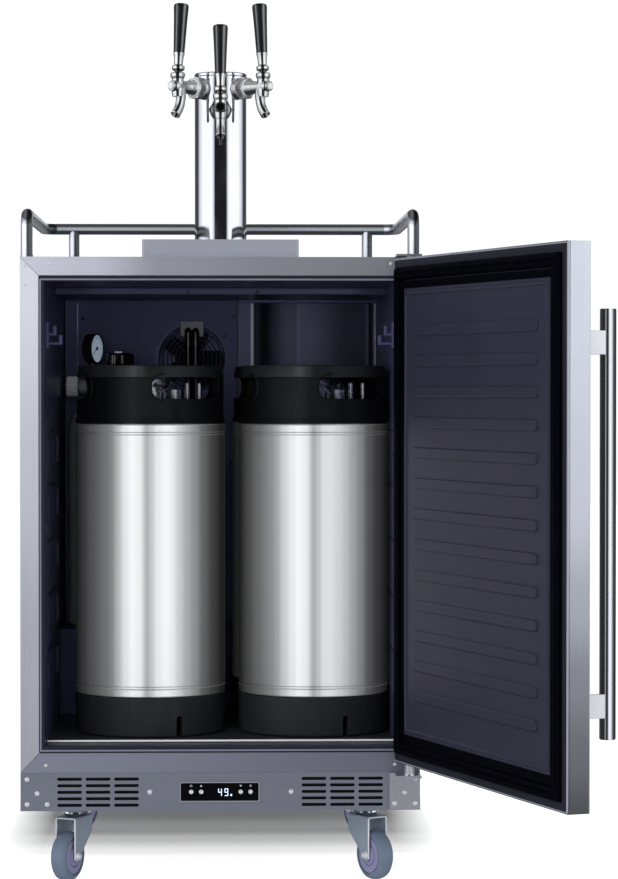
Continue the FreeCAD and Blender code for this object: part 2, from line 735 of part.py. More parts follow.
def evaporator_fan():
    """Fan that blows cold air through the cover's opening."""
    return moved(fan(5, FAN_R - 7, 14, 14, 2 + RUNNING_GAP), FAN_X, CAVITY_BACK - 28, FAN_Z)


# Gas supply


def co2_cylinder():
    """Gas bottle with its valve, the valve's side stem and its outlet, standing on the step."""
    shoulder = BOTTLE_TOP - 45 - STEP_TOP
    neck = BOTTLE_TOP - STEP_TOP
    bottle = revolved([(0, 0), (BOTTLE_R - 6, 0), (BOTTLE_R, 6), (BOTTLE_R, shoulder),
                       (BOTTLE_R - 8, shoulder + 22), (28, shoulder + 41), (16, neck), (0, neck)])
    cavity = revolved([(0, 5), (BOTTLE_R - 5, 5), (BOTTLE_R - 5, shoulder),
                       (22, shoulder + 36), (0, shoulder + 36)])
    valve = [
        cylinder(13, 40, BOTTLE_X, BOTTLE_Y, BOTTLE_TOP - 1),
        cylinder(11, BOTTLE_X - HANDWHEEL_X - 2, BOTTLE_X, BOTTLE_Y, VALVE_Z, -X_AXIS),
        cylinder(3, BOTTLE_X - HANDWHEEL_X + 20, BOTTLE_X, BOTTLE_Y, VALVE_Z, -X_AXIS),
        cylinder(9, 26, BOTTLE_X, BOTTLE_Y, VALVE_Z, -Y_AXIS),
    ]
    return joined([moved(bottle.cut(cavity), BOTTLE_X, BOTTLE_Y, STEP_TOP)] + valve)


def co2_handwheel():
    """Fluted handwheel that turns on the valve's side stem."""
    length = 20
    wheel = cylinder(HANDWHEEL_R, length, HANDWHEEL_X, BOTTLE_Y, VALVE_Z, -X_AXIS)
    flutes = []
    for n in range(12):
        angle = math.radians(30 * n)
        y = BOTTLE_Y + (HANDWHEEL_R + 1.5) * math.cos(angle)
        z = VALVE_Z + (HANDWHEEL_R + 1.5) * math.sin(angle)
        flutes.append(cylinder(3, length, HANDWHEEL_X, y, z, -X_AXIS))
    bore = cylinder(3 + RUNNING_GAP, length, HANDWHEEL_X, BOTTLE_Y, VALVE_Z, -X_AXIS)
    return wheel.cut(flutes + [bore])


def regulator():
    """Regulator: inlet nut and cross tube, upright bonnet and stem, gauge stem and outlet barb."""
    inlet_y = BOTTLE_Y - 26
    return joined(
        [
            cylinder(15, 14, BOTTLE_X, inlet_y, VALVE_Z, -Y_AXIS),
            cylinder(9, inlet_y - REGULATOR_Y, BOTTLE_X, inlet_y, VALVE_Z, -Y_AXIS),
            cylinder(10, REGULATOR_X - GAUGE_X + 8, GAUGE_X - 8, REGULATOR_Y, VALVE_Z, X_AXIS),
            cylinder(5, GAUGE_Z - 28 - VALVE_Z, GAUGE_X, REGULATOR_Y, VALVE_Z),
            cylinder(20, KNOB_Z - VALVE_Z + 12, REGULATOR_X, REGULATOR_Y, VALVE_Z - 14),
            cylinder(5, KNOB_Z + 17 - VALVE_Z, REGULATOR_X, REGULATOR_Y, VALVE_Z),
            cylinder(6, 34, REGULATOR_X, REGULATOR_Y, VALVE_Z, X_AXIS),
            cylinder(4, 48, REGULATOR_X, REGULATOR_Y, VALVE_Z, X_AXIS),
        ]
    )


def regulator_knob():
    """Lobed adjusting knob that turns on the regulator's upright stem."""
    height = 22
    knob = cylinder(KNOB_R - 8, height, REGULATOR_X, REGULATOR_Y, KNOB_Z)
    lobes = []
    for n in range(5):
        angle = math.radians(72 * n - 90)
        x = REGULATOR_X + (KNOB_R - 8) * math.cos(angle)
        y = REGULATOR_Y + (KNOB_R - 8) * math.sin(angle)
        lobes.append(cylinder(8, height, x, y, KNOB_Z))
    return joined([knob] + lobes).cut(cylinder(5 + RUNNING_GAP, 18, REGULATOR_X, REGULATOR_Y, KNOB_Z - 1))


def pressure_gauge():
    """Round gauge on the regulator's gauge stem, turned to face right and forward."""
    case = cylinder(25, 18, GAUGE_X, REGULATOR_Y + 9, GAUGE_Z, -Y_AXIS)
    dial_well = cylinder(22.5, 3, GAUGE_X, REGULATOR_Y - 6.5, GAUGE_Z, -Y_AXIS)
    socket = cylinder(7, 12, GAUGE_X, REGULATOR_Y, GAUGE_Z - 34)
    gauge = joined([case.cut(dial_well), socket])
    gauge = gauge.cut(cylinder(5, 9, GAUGE_X, REGULATOR_Y, GAUGE_Z - 37))
    return turned(gauge, GAUGE_X, REGULATOR_Y, 68)


def product_lines():
    """Two hoses that rise in front of the cold air unit to domed elbows on the cover's bracket."""
    lines = []
    bracket_face = COVER_Y - GRILLE_T - 2
    for x in HOSES:
        lines.append(cylinder(HOSE_R, HOSE_TOP - HOSE_LOW, x, HOSE_Y, HOSE_LOW))
        elbow = joined(
            [
                cylinder(HOSE_R, 7, x, HOSE_Y, HOSE_TOP),
                Part.makeSphere(HOSE_R, Vector(x, HOSE_Y, HOSE_TOP + 7)),
                cylinder(4, bracket_face - HOSE_Y, x, HOSE_Y, HOSE_TOP + 6, Y_AXIS),
            ]
        )
        lines.append(elbow)
    return group(lines)


# Machine compartment


def compressor():
    """Domed compressor on a foot plate."""
    can = revolved([(0, 0), (52, 0), (56, 8), (56, 120), (48, 146), (24, 156), (0, 158)])
    foot = box(-62, 62, -56, 56, 0, 4)
    feet = [cylinder(8, 10, x, y, -10) for x in (-50, 50) for y in (-46, 46)]
    return moved(joined([foot, moved(can, z=4)] + feet), COMPRESSOR_X, COMPRESSOR_Y, BASE_Z + 12)


def condenser():
    """Finned coil behind the kick panel, with its fan motor and bracket."""
    y0 = FRONT + 60
    fins = [box(CONDENSER_X - 90 + 6 * n, CONDENSER_X - 89 + 6 * n, y0, y0 + 30, BASE_Z + 4, BASE_Z + 54)
            for n in range(31)]
    tubes = [box(CONDENSER_X - 94, CONDENSER_X + 94, y0 + 12, y0 + 18, BASE_Z + z, BASE_Z + z + 6)
             for z in (10, 26, 42)]
    motor = cylinder(12, 24, CONDENSER_X, y0 + 62, BASE_Z + 29, Y_AXIS)
    shaft = cylinder(2, 16, CONDENSER_X, y0 + 46, BASE_Z + 29, Y_AXIS)
    strap = box(CONDENSER_X - 6, CONDENSER_X + 6, y0 + 66, y0 + 80, BASE_Z + 2, BASE_Z + 20)
    return group([joined(fins + tubes), joined([motor, shaft, strap])])


def condenser_fan():
    """Fan that draws air through the condenser."""
    return moved(fan(5, 24, 8, 14, 2 + RUNNING_GAP), CONDENSER_X, FRONT + 60 + 44, BASE_Z + 29)


# Casters


def caster_plates():
    """Four top plates with their kingpins and races."""
    mounts = []
    for x, y, _ in CASTERS.values():
        plate = rounded_box(x - 30, x + 30, y - 30, y + 30, BASE_Z - CASTER_PLATE_T, BASE_Z, 5, Z_AXIS)
        holes = [cylinder(3.25, 9, x + dx, y + dy, BASE_Z - 6) for dx in (-22, 22) for dy in (-22, 22)]
        mounts.append(
            joined(
                [
                    plate.cut(holes),
                    cylinder(19, 8, x, y, BASE_Z - CASTER_PLATE_T - 8),
                    cylinder(KINGPIN_R, 24, x, y, BASE_Z - CASTER_PLATE_T - 24),
                ]
            )
        )
    return group(mounts)


def caster_fork(x, y, angle):
    """Swivel fork with its race and the wheel's axle, trailing at an angle."""
    wall = 2.5
    inner = WHEEL_W / 2 + 2
    outline = [(22, FORK_TOP), (-20, FORK_TOP), (-TRAIL - 13, WHEEL_R + 4), (-TRAIL - 9, WHEEL_R - 11),
               (-TRAIL + 9, WHEEL_R - 11), (20, FORK_TOP - 18)]
    cheek = Part.Face(Part.makePolygon([Vector(0, v, z) for v, z in outline + outline[:1]]))
    parts = [
        moved(cheek.extrude(Vector(wall, 0, 0)), inner),
        moved(cheek.extrude(Vector(wall, 0, 0)), -inner - wall),
        box(-inner - wall, inner + wall, -20, 22, FORK_TOP - wall, FORK_TOP),
        cylinder(18, 3, 0, 0, FORK_TOP),
        cylinder(AXLE_R, 2 * (inner + wall + 4), -inner - wall - 4, -TRAIL, WHEEL_R, X_AXIS),
        cylinder(8, 4, inner + wall, -TRAIL, WHEEL_R, X_AXIS),
        cylinder(8, 4, -inner - wall - 4, -TRAIL, WHEEL_R, X_AXIS),
    ]
    fork = joined(parts).cut(cylinder(KINGPIN_R + RUNNING_GAP, 40, 0, 0, FORK_TOP - 20))
    return turned(moved(fork, x, y), x, y, angle)


def caster_wheel(x, y, angle):
    """Hub and tyre, bored to run on the axle."""
    half = WHEEL_W / 2
    tread = [(27, -half), (WHEEL_R - 3, -half), (WHEEL_R, -half + 3), (WHEEL_R, half - 3),
             (WHEEL_R - 3, half), (27, half)]
    core = [(AXLE_R + RUNNING_GAP, -half - 1), (11, -half - 1), (13, -half + 5), (23, -half + 6),
            (27, -half), (27, half), (23, half - 6), (13, half - 5), (11, half + 1),
            (AXLE_R + RUNNING_GAP, half + 1)]
    wheel = group([revolved(core), revolved(tread)])
    wheel.rotate(Vector(0, 0, 0), Y_AXIS, 90)
    return turned(moved(wheel, x, y - TRAIL, WHEEL_R), x, y, angle)


def sub_parts():
    """Every sub-part's node name and shape."""
    parts = {
        "cabinet_wrap": cabinet_wrap(),
        "back_panel": back_panel(),
        "base_pan": base_pan(),
        "front_frame": front_frame(),
        "foam_slabs": foam_slabs(),
        "inner_liner": inner_liner(),
        "floor_plate": floor_plate(),
        "kick_panel": kick_panel(),
        "controller_bezel": controller_bezel(),
        "controller_screen": controller_screen(),
        "hinge_brackets": hinge_brackets(),
        "guard_rail": guard_rail(),
        "tower_column": tower_column(),
        "tower_cap": tower_cap(),
        "drip_tray": drip_tray(),
        "drip_grille": drip_grille(),
        "evaporator_cover": evaporator_cover(),
        "evaporator_fan": evaporator_fan(),
        "co2_cylinder": co2_cylinder(),
        "co2_handwheel": co2_handwheel(),
        "regulator": regulator(),
        "regulator_knob": regulator_knob(),
        "pressure_gauge": pressure_gauge(),
        "product_lines": product_lines(),
        "compressor": compressor(),
        "condenser": condenser(),
        "condenser_fan": condenser_fan(),
        "caster_plates": caster_plates(),
        "door_pan": swung(door_pan()),
        "door_foam": swung(door_foam()),
        "door_liner": swung(door_liner()),
        "door_gasket": swung(door_gasket()),
        "door_handle": swung(door_handle()),
    }
    for name, x in BUTTONS.items():
        parts["button_" + name] = controller_button(x)
    for name, (angle, z) in FAUCETS.items():
        parts["faucet_" + name + "_body"] = faucet_body(angle, z)
        parts["faucet_" + name + "_lever"] = faucet_lever(angle, z)
        parts["faucet_" + name + "_handle"] = faucet_handle(angle, z)
    barrel = keg_barrel()
    rubber = keg_rubber()
    for name, (x, y) in KEGS.items():
        parts["keg_" + name + "_barrel"] = placed_keg(barrel, x, y)
        parts["keg_" + name + "_rubber"] = placed_keg(rubber, x, y)
    for name, (x, y, angle) in CASTERS.items():
        parts["caster_" + name + "_fork"] = caster_fork(x, y, angle)
        parts["caster_" + name + "_wheel"] = caster_wheel(x, y, angle)
    return parts


os.makedirs("parts", exist_ok=True)
for node, shape in sub_parts().items():
    shape.exportStep("parts/" + node + ".step")
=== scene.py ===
import math
import random

import bmesh
import bpy
from mathutils import Matrix, Vector


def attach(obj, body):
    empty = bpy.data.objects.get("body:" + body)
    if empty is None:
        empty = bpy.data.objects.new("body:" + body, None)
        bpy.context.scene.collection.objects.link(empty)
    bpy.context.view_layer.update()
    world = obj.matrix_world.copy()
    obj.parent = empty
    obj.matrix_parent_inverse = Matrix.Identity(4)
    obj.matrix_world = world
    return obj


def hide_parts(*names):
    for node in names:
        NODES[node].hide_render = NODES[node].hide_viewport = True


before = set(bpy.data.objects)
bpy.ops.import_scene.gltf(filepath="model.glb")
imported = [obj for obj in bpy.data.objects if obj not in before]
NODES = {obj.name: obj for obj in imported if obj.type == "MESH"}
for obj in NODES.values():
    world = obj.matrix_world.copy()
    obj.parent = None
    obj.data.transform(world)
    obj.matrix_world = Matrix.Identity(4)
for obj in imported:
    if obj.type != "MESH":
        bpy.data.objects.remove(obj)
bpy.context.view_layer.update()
random.seed(7)

# Driving dimensions, in metres: the same ones the CAD model is built from.
HALF = 0.300
FRONT = -0.320
BACK = 0.320
BASE_Z = 0.111
DECK_Z = 0.942
KICK_TOP = 0.168
FRAME_W = 0.028
CAVITY_HALF = 0.264
CAVITY_BACK = FRONT + 0.602
CEILING_Z = 0.906
LINER_T = 0.002
COVE_R = 0.022
FLOOR_Z = 0.2096
HINGE = Vector((0.282, FRONT - 0.026, 0))
DOOR_OPEN = math.radians(109)
DOOR_FACE = FRONT - 0.043
DOOR_BACK = FRONT - 0.010
HANDLE = Vector((-HALF + 0.035, DOOR_FACE - 0.0415, 0.278))
HANDLE_R = 0.011
HANDLE_L = 0.573
STANDOFFS = (0.323, 0.806)
DOOR_LOW = 0.1855
DOOR_HIGH = 0.939
RIBS = 13
RIB_TOP = 0.838
RIB_PITCH = 0.0448
TOWER_Y = FRONT + 0.300
TOWER_R = 0.042
TOWER_TOP = 1.240
FAUCETS = {"left": (-45, 1.220), "middle": (0, 1.184), "right": (45, 1.220)}
PIVOT_OUT = 0.095
PIVOT_UP = 0.012
LEVER_LEAN = math.radians(4)
SPOUT_DROP = 0.046
SPOUT_R = 0.0076
RAIL_X = 0.291
RAIL_FRONT = FRONT + 0.025
RAIL_BACK = FRONT + 0.470
RAIL_Z = 1.0075
RAIL_R = 0.009
RAIL_POST_X = 0.242
RAIL_BEND = 0.022
PANEL_Z = 0.1391
CONTROL_X = -0.0015
KEG_R = 0.1175
KEG_H = 0.571
COLLAR_H = 0.090
COLLAR_R = 0.1145
BOOT_H = 0.061
KEGS = {"left": (-0.110, FRONT + 0.206), "right": (0.145, FRONT + 0.206), "rear": (0.136, FRONT + 0.446)}
HAND_HOLE_W = 0.124
HAND_HOLE_TURN = 35.5
NOTCH_W = 0.010
NOTCH_TURN = 24
FAN = Vector((-0.049, FRONT + 0.566, 0.795))
FAN_R = 0.057
HOSES = (-0.055, -0.0425)
HOSE_R = 0.006
HOSE_Y = FRONT + 0.554
HOSE_LOW = 0.400
HOSE_TOP = 0.834
BULKHEAD_FRONT = FRONT + 0.290
BULKHEAD_Z = 0.894
RECESS_LEFT = 0.055
RECESS_RIGHT = 0.254
RECESS_RIM = FRONT + 0.580
COVER_Y = FRONT + 0.566
CLEAT_ROWS = (0.292, 0.376, 0.460, 0.544, 0.628)
CLEAT_COLUMNS = (FRONT + 0.040, FRONT + 0.300)
CLEAT_W = 0.012
CLEAT_H = 0.041
CLEAT_REACH = {-1: 0.0050, 1: 0.0012}
STEP_RIGHT = -0.100
STEP_FRONT = FRONT + 0.436
STEP_TOP = 0.350
GAUGE = Vector((-0.210, FRONT + 0.434, 0.810))
KNOB = Vector((-0.166, FRONT + 0.434, 0.781))
KNOB_R = 0.0235
KNOB_H = 0.022
HANDWHEEL = Vector((-0.237, FRONT + 0.500, 0.748))
HANDWHEEL_R = 0.0172
HANDWHEEL_W = 0.0200
WHEEL_R = 0.0375
WHEEL_W = 0.025
TRAIL = 0.028
FORK_TOP = 0.096
FORK_WALL = 0.0025
FORK_GAP = 0.002
CASTERS = {
    "front_left": (-0.220, FRONT + 0.065, -24),
    "front_right": (0.220, FRONT + 0.065, 30),
    "rear_left": (-0.220, FRONT + 0.575, -35),
    "rear_right": (0.220, FRONT + 0.575, 20),
}

# Curves of tone, most of them painted light and shade. Each stop is (place, grey); the place is 0 to 1 unless
# a comment says otherwise.

# Painted highlights, reflections and shade: how bright a round surface is made by the way it faces, from left
# to right.
RAIL_ACROSS = [(0.0, 0.25), (0.10, 0.6), (0.26, 1.5), (0.44, 1.5), (0.54, 0.30), (0.60, 0.06), (0.86, 0.12),
               (1.0, 0.30)]
PULL_ACROSS = [(0.0, 0.03), (0.26, 0.02), (0.31, 0.55), (0.35, 0.03), (0.44, 0.04), (0.53, 1.3), (0.62, 1.25),
               (0.69, 0.70), (0.77, 0.16), (0.83, 0.05), (0.90, 0.03), (1.0, 0.01)]
KEG_ACROSS = [(0.0, 0.05), (0.06, 0.12), (0.12, 0.19), (0.22, 0.28), (0.255, 0.35), (0.29, 0.54),
              (0.355, 0.79), (0.39, 0.93), (0.44, 0.88), (0.49, 0.46), (0.52, 0.61), (0.555, 0.86),
              (0.61, 0.97), (0.66, 0.92), (0.70, 0.80), (0.75, 0.60), (0.80, 0.43), (0.855, 0.20),
              (0.92, 0.10), (1.0, 0.03)]
TAP_ACROSS = [(0.0, 0.02), (0.06, 0.10), (0.13, 0.95), (0.34, 1.0), (0.40, 0.03), (0.58, 0.02), (0.65, 0.95),
              (0.78, 1.0), (0.86, 0.30), (0.92, 0.75), (0.97, 0.05), (1.0, 0.02)]
GRIP_ACROSS = [(0.0, 0.02), (0.15, 0.008), (0.22, 0.20), (0.30, 0.006), (0.64, 0.004), (0.72, 0.18),
               (0.78, 0.20), (0.85, 0.01), (1.0, 0.02)]
BAND_ACROSS = [(0.0, 1.3), (0.25, 1.2), (0.33, 2.0), (0.40, 4.2), (0.45, 2.4), (0.50, 1.0), (0.56, 1.2),
               (0.64, 1.7), (0.78, 1.8), (0.86, 1.4), (1.0, 1.4)]
BOOT_ACROSS = [(0.0, 0.4), (0.20, 0.4), (0.28, 0.6), (0.33, 1.0), (0.40, 1.5), (0.46, 0.95), (0.62, 1.0),
               (0.68, 0.7), (0.74, 1.0), (0.83, 0.8), (0.90, 0.6), (1.0, 0.8)]
RECESS_ACROSS = [(0.0, 0.5), (0.40, 0.7), (0.50, 0.72), (0.56, 1.25), (0.62, 0.45), (0.72, 0.10), (1.0, 0.05)]
EVEN_ACROSS = [(0.0, 1.0), (1.0, 1.0)]

# Painted light and shade the same way, from facing down to facing up.
RAIL_UP = [(0.0, 0.05), (0.30, 0.06), (0.42, 0.80), (0.55, 1.0), (0.64, 0.62), (0.74, 0.10), (1.0, 0.12)]
TAP_UP = [(0.0, 0.02), (0.20, 0.05), (0.32, 0.55), (0.44, 1.0), (0.60, 1.0), (0.72, 0.35), (0.86, 0.55),
          (1.0, 1.0)]
KEG_UP = [(0.0, 0.5), (0.5, 1.0), (0.75, 0.7), (1.0, 0.35)]
LEVEL_UP = [(0.0, 0.6), (0.5, 1.0), (1.0, 0.9)]

# Painted shade: how a sheet's tone darkens along the object, its places in metres; the last curve is the
# floor's painted shadow.
SIDE_PAINTED_SHADE = [(0.15, 0.52), (0.35, 0.58), (0.62, 0.76), (0.90, 1.0), (0.95, 1.0)]
TOP_RAIL_PAINTED_SHADE = [(-0.30, 1.0), (-0.20, 0.90), (-0.08, 0.50), (0.10, 0.41), (0.30, 0.37)]
LOW_RAIL_PAINTED_SHADE = [(-0.30, 1.0), (0.30, 0.68)]
DOOR_PAINTED_SHADE = [(0.18, 0.18), (0.26, 0.30), (0.36, 0.45), (0.46, 0.72), (0.58, 0.95), (0.95, 1.0)]
RECESS_PAINTED_SHADE = [(0.028, 1.0), (0.150, 1.0), (0.235, 0.35), (0.254, 0.35)]
FLOOR_SHADE = [(0.0, 1.0), (0.11, 0.93), (0.20, 0.74), (0.37, 0.42), (0.50, 0.20), (0.76, 0.02), (1.0, 0.01)]

# What polished surfaces reflect: by azimuth from the camera's side, below and above its eye, then by height.
BELOW_EYE = [(0.0, 0.46), (0.04, 0.62), (0.13, 1.0), (0.22, 0.92), (0.31, 0.60), (0.38, 0.42), (0.45, 0.30),
             (0.62, 0.30), (1.0, 0.50)]
ABOVE_EYE = [(0.0, 0.01), (0.14, 0.012), (0.165, 0.60), (0.22, 1.0), (0.45, 1.0), (0.56, 0.70), (0.66, 0.05),
             (0.80, 0.05), (0.90, 0.8), (1.0, 1.0)]
BY_HEIGHT = [(0.0, 0.04), (0.25, 0.10), (0.36, 0.34), (0.47, 0.66), (0.52, 0.95), (0.64, 1.0), (0.70, 0.30),
             (0.76, 0.04), (0.90, 0.03), (1.0, 0.5)]

# Material constants: a sheet's share of deep reflection, the stretch of its grain, and two common colours.
SHEET_METAL = 0.35
GRAIN_UP = (420, 420, 3)
GRAIN_ACROSS = (3, 420, 420)
GRAIN_NONE = (600, 600, 600)
WHITE = (1.0, 1.0, 1.0)
BLUE_GLOSS = (0.55, 0.55, 0.95)


# Node-tree helpers


def add_node(tree, kind, inputs=None, **settings):
    """Adds a shader node, sets its properties, and links or sets its inputs."""
    made = tree.nodes.new("ShaderNode" + kind)
    for key, value in settings.items():
        setattr(made, key, value)
    for key, value in (inputs or {}).items():
        if isinstance(value, bpy.types.NodeSocket):
            tree.links.new(value, made.inputs[key])
        else:
            made.inputs[key].default_value = value
    return made


def new_material(name):
    """An empty node material with its shader and output."""
    made = bpy.data.materials.new(name)
    made.use_nodes = True
    tree = made.node_tree
    tree.nodes.clear()
    shader = add_node(tree, "BsdfPrincipled")
    add_node(tree, "OutputMaterial", {"Surface": shader.outputs[0]})
    return made, tree, shader


def set_inputs(tree, shader, **inputs):
    """Sets or links shader inputs by name, with _ for a space."""
    for key, value in inputs.items():
        socket = shader.inputs[key.replace("_", " ")]
        if isinstance(value, bpy.types.NodeSocket):
            tree.links.new(value, socket)
        else:
            socket.default_value = value


def object_place(tree):
    """The place of the shaded spot in the object's own space."""
    return add_node(tree, "TexCoord").outputs["Object"]


def stretched_noise(tree, stretch, detail=4.0, rough=0.55):
    """Noise in object space, stretched by a scale on each axis, or by one scale on all three."""
    if not isinstance(stretch, tuple):
        stretch = (stretch, stretch, stretch)
    mapping = add_node(tree, "Mapping", {"Vector": object_place(tree), "Scale": stretch})
    made = add_node(tree, "TexNoise", {"Vector": mapping.outputs[0], "Scale": 1.0, "Detail": detail,
                                       "Roughness": rough})
    return made.outputs["Fac"]


def remap(tree, factor, low, high, start=0.0, end=1.0):
    """Maps a factor from one range to another."""
    made = add_node(tree, "MapRange", {"Value": factor, "From Min": start, "From Max": end,
                                       "To Min": low, "To Max": high})
    return made.outputs[0]


def drift(tree, factor, low, high):
    """A value that drifts between two levels over the middle of a noise's range."""
    return remap(tree, factor, low, high, 0.3, 0.7)


def colour_mix(tree, factor, first, second):
    """Mixes two colours by a factor."""
    made = add_node(tree, "Mix", data_type="RGBA")
    for index, value in ((0, factor), (6, first), (7, second)):
        if isinstance(value, bpy.types.NodeSocket):
            tree.links.new(value, made.inputs[index])
        else:
            made.inputs[index].default_value = value
    return made.outputs[2]


def drifting_colour(tree, factor, base, low, high, start=0.3, end=0.7):
    """A colour that drifts between two shares of its base."""
    return colour_mix(tree, remap(tree, factor, 0.0, 1.0, start, end),
                      rgb(*(c * low for c in base)), rgb(*(c * high for c in base)))


def ramp(tree, factor, stops):
    """A grey that follows (position, grey) stops along a factor."""
    made = add_node(tree, "ValToRGB", {"Fac": factor})
    elements = made.color_ramp.elements
    made.color_ramp.interpolation = "EASE"
    elements.remove(elements[-1])
    elements[0].position = stops[0][0]
    elements[0].color = rgb(*[stops[0][1]] * 3)
    for position, grey in stops[1:]:
        elements.new(position).color = rgb(grey, grey, grey)
    return made.outputs["Color"]


def along(tree, axis, stops):
    """A grey that follows (place in metres, grey) stops along one object axis, used for painted shade."""
    place = add_node(tree, "SeparateXYZ", {"Vector": object_place(tree)}).outputs[axis]
    low = stops[0][0]
    high = stops[-1][0]
    shares = [((spot - low) / (high - low), grey) for spot, grey in stops]
    return ramp(tree, remap(tree, place, 0.0, 1.0, low, high), shares)


def painted_facing_light(tree, axis, stops):
    """Painted light and shade: a grey that follows the way a surface faces along a world axis, from 0
    (against it) to 1 (along it).
    """
    normal = add_node(tree, "SeparateXYZ", {"Vector": add_node(tree, "NewGeometry").outputs["Normal"]})
    return ramp(tree, remap(tree, normal.outputs[axis], 0.0, 1.0, -1.0, 1.0), stops)


def product(tree, first, second):
    """Two colours multiplied."""
    return add_node(tree, "VectorMath", {0: first, 1: second}, operation="MULTIPLY").outputs[0]


def bump(tree, height, strength, distance=0.0003):
    """A bump normal from a height."""
    return add_node(tree, "Bump", {"Height": height, "Strength": strength, "Distance": distance}).outputs[0]


def rgb(r, g, b):
    """An opaque colour."""
    return (r, g, b, 1.0)


# Materials


def brushed_steel(name, stretch, base, roughness, grain=0.12, mottle=0.5, axis="Z", fade=None,
                  metallic=SHEET_METAL, plain_face=None):
    """Stainless sheet with a fine directional grain, soft streaks, and painted shade that can darken its tone
    along an axis.

    The painted shade and the metal's deep reflections leave out surfaces whose own normal points along
    plain_face."""
    made, tree, shader = new_material(name)
    fine = stretched_noise(tree, stretch, 5.0, 0.7)
    broad = stretched_noise(tree, tuple(v * 0.06 for v in stretch), 3.0)
    marks = stretched_noise(tree, 7, 3.0)
    streaks = drifting_colour(tree, fine, base, 1 - 0.08 * mottle, 1 + 0.06 * mottle)
    tinted = product(tree, streaks, drift(tree, broad, 1.0 - 0.09 * mottle, 1.0 + 0.06 * mottle))
    if fade:
        level = along(tree, axis, fade)
        if plain_face:
            normal = add_node(tree, "SeparateXYZ", {"Vector": add_node(tree, "TexCoord").outputs["Normal"]})
            outward = remap(tree, normal.outputs[plain_face], 0.0, 1.0, 0.4, 0.7)
            level = colour_mix(tree, outward, level, rgb(0.92, 0.92, 0.95))
            metallic = remap(tree, outward, metallic, SHEET_METAL)
        tinted = product(tree, tinted, level)
    gloss = drift(tree, fine, roughness - 0.05 * mottle, roughness + 0.05 * mottle)
    rough = add_node(tree, "Math", {0: gloss, 1: drift(tree, marks, -0.03, 0.03)}).outputs[0]
    set_inputs(tree, shader, Base_Color=tinted, Metallic=metallic, Roughness=rough,
               Normal=bump(tree, fine, grain))
    return made


def satin_painted_light_tube(name, base, across, upward, metallic=0.4, smudges=0.02, smear=40):
    """Satin-plated tube with painted reflections: its tone follows the way its surface faces, sideways and
    upward.
    """
    made, tree, shader = new_material(name)
    smudge = stretched_noise(tree, smear, 2.0)
    tone = product(tree, drifting_colour(tree, smudge, base, 0.96, 1.0), painted_facing_light(tree, "Z", upward))
    set_inputs(tree, shader, Base_Color=product(tree, tone, painted_facing_light(tree, "X", across)),
               Metallic=metallic, Roughness=drift(tree, smudge, 0.26, 0.34),
               Normal=bump(tree, stretched_noise(tree, 300), smudges, 0.0002))
    return made


def polished_chrome(name):
    """Polished plate with faint smudges in its gloss."""
    made, tree, shader = new_material(name)
    smudge = stretched_noise(tree, (30, 30, 18))
    set_inputs(tree, shader, Metallic=1.0, Roughness=remap(tree, smudge, 0.04, 0.09, 0.4, 0.7),
               Base_Color=drifting_colour(tree, smudge, (0.90, 0.905, 0.92), 0.96, 1.0, 0.35, 0.65),
               Normal=bump(tree, stretched_noise(tree, 120), 0.01, 0.0002))
    return made


def moulded_plastic(name, base, roughness, texture=700, coat=0.0, strength=0.06, variation=0.08, sheen=0.5,
                    tint=WHITE, level=None):
    """Plastic with a fine spark-eroded texture, faint colour drift and worn sheen.

    A level is a function that gives a grey of painted light and shade for the tree, which the plastic's
    colour is multiplied by."""
    made, tree, shader = new_material(name)
    broad = stretched_noise(tree, 9)
    tone = drifting_colour(tree, broad, base, 1 - variation, 1 + variation)
    if level:
        tone = product(tree, tone, level(tree))
    set_inputs(tree, shader, Base_Color=tone,
               Normal=bump(tree, stretched_noise(tree, texture, 2.0), strength),
               Roughness=drift(tree, broad, roughness - 0.04, roughness + 0.05),
               Specular_IOR_Level=sheen, Specular_Tint=rgb(*tint), Coat_Weight=coat, Coat_Roughness=0.08)
    return made


def grille_painted_shade(tree):
    """Painted shade inside the cold air cover's round opening, where its ringed grille stands in front of the
    fan.
    """
    place = add_node(tree, "SeparateXYZ", {"Vector": object_place(tree)})
    level = add_node(tree, "CombineXYZ", {"X": place.outputs["X"], "Y": FAN.y,
                                          "Z": place.outputs["Z"]}).outputs[0]
    away = add_node(tree, "VectorMath", {0: level, 1: FAN}, operation="DISTANCE").outputs["Value"]
    return ramp(tree, remap(tree, away, 0.0, 1.0, FAN_R - 0.004, FAN_R + 0.006), [(0.0, 0.14), (1.0, 1.0)])


def recess_painted_light(tree):
    """Painted light and shade: a painted highlight where the rear moulding faces a little to the right, dark
    where it turns further right, and painted shade toward its right end.
    """
    return product(tree, painted_facing_light(tree, "X", RECESS_ACROSS), along(tree, "X", RECESS_PAINTED_SHADE))


def rubber(name, base, roughness, sheen, across=EVEN_ACROSS):
    """Matte moulded rubber with a fine bloom and scuffs, and painted highlights and shade that can follow the
    way it faces sideways.
    """
    made, tree, shader = new_material(name)
    bloom = stretched_noise(tree, 26, 6.0)
    scuffs = stretched_noise(tree, (60, 60, 14), 5.0, 0.75)
    scuffed = drifting_colour(tree, scuffs, base, 1.0, 1.5, 0.52, 0.78)
    set_inputs(tree, shader, Base_Color=product(tree, scuffed, painted_facing_light(tree, "X", across)),
               Specular_IOR_Level=sheen, Roughness=drift(tree, bloom, roughness - 0.06, roughness + 0.06),
               Normal=bump(tree, stretched_noise(tree, 700, 2.0), 0.15))
    return made


def galvanised(name):
    """Zinc-dipped sheet with its spangle."""
    made, tree, shader = new_material(name)
    spangle = add_node(tree, "TexVoronoi", {"Vector": object_place(tree), "Scale": 90.0}).outputs["Color"]
    grey = add_node(tree, "RGBToBW", {"Color": spangle}).outputs[0]
    tone = colour_mix(tree, grey, rgb(0.40, 0.42, 0.45), rgb(0.60, 0.62, 0.65))
    set_inputs(tree, shader, Base_Color=tone, Metallic=0.9, Roughness=remap(tree, grey, 0.32, 0.5))
    return made


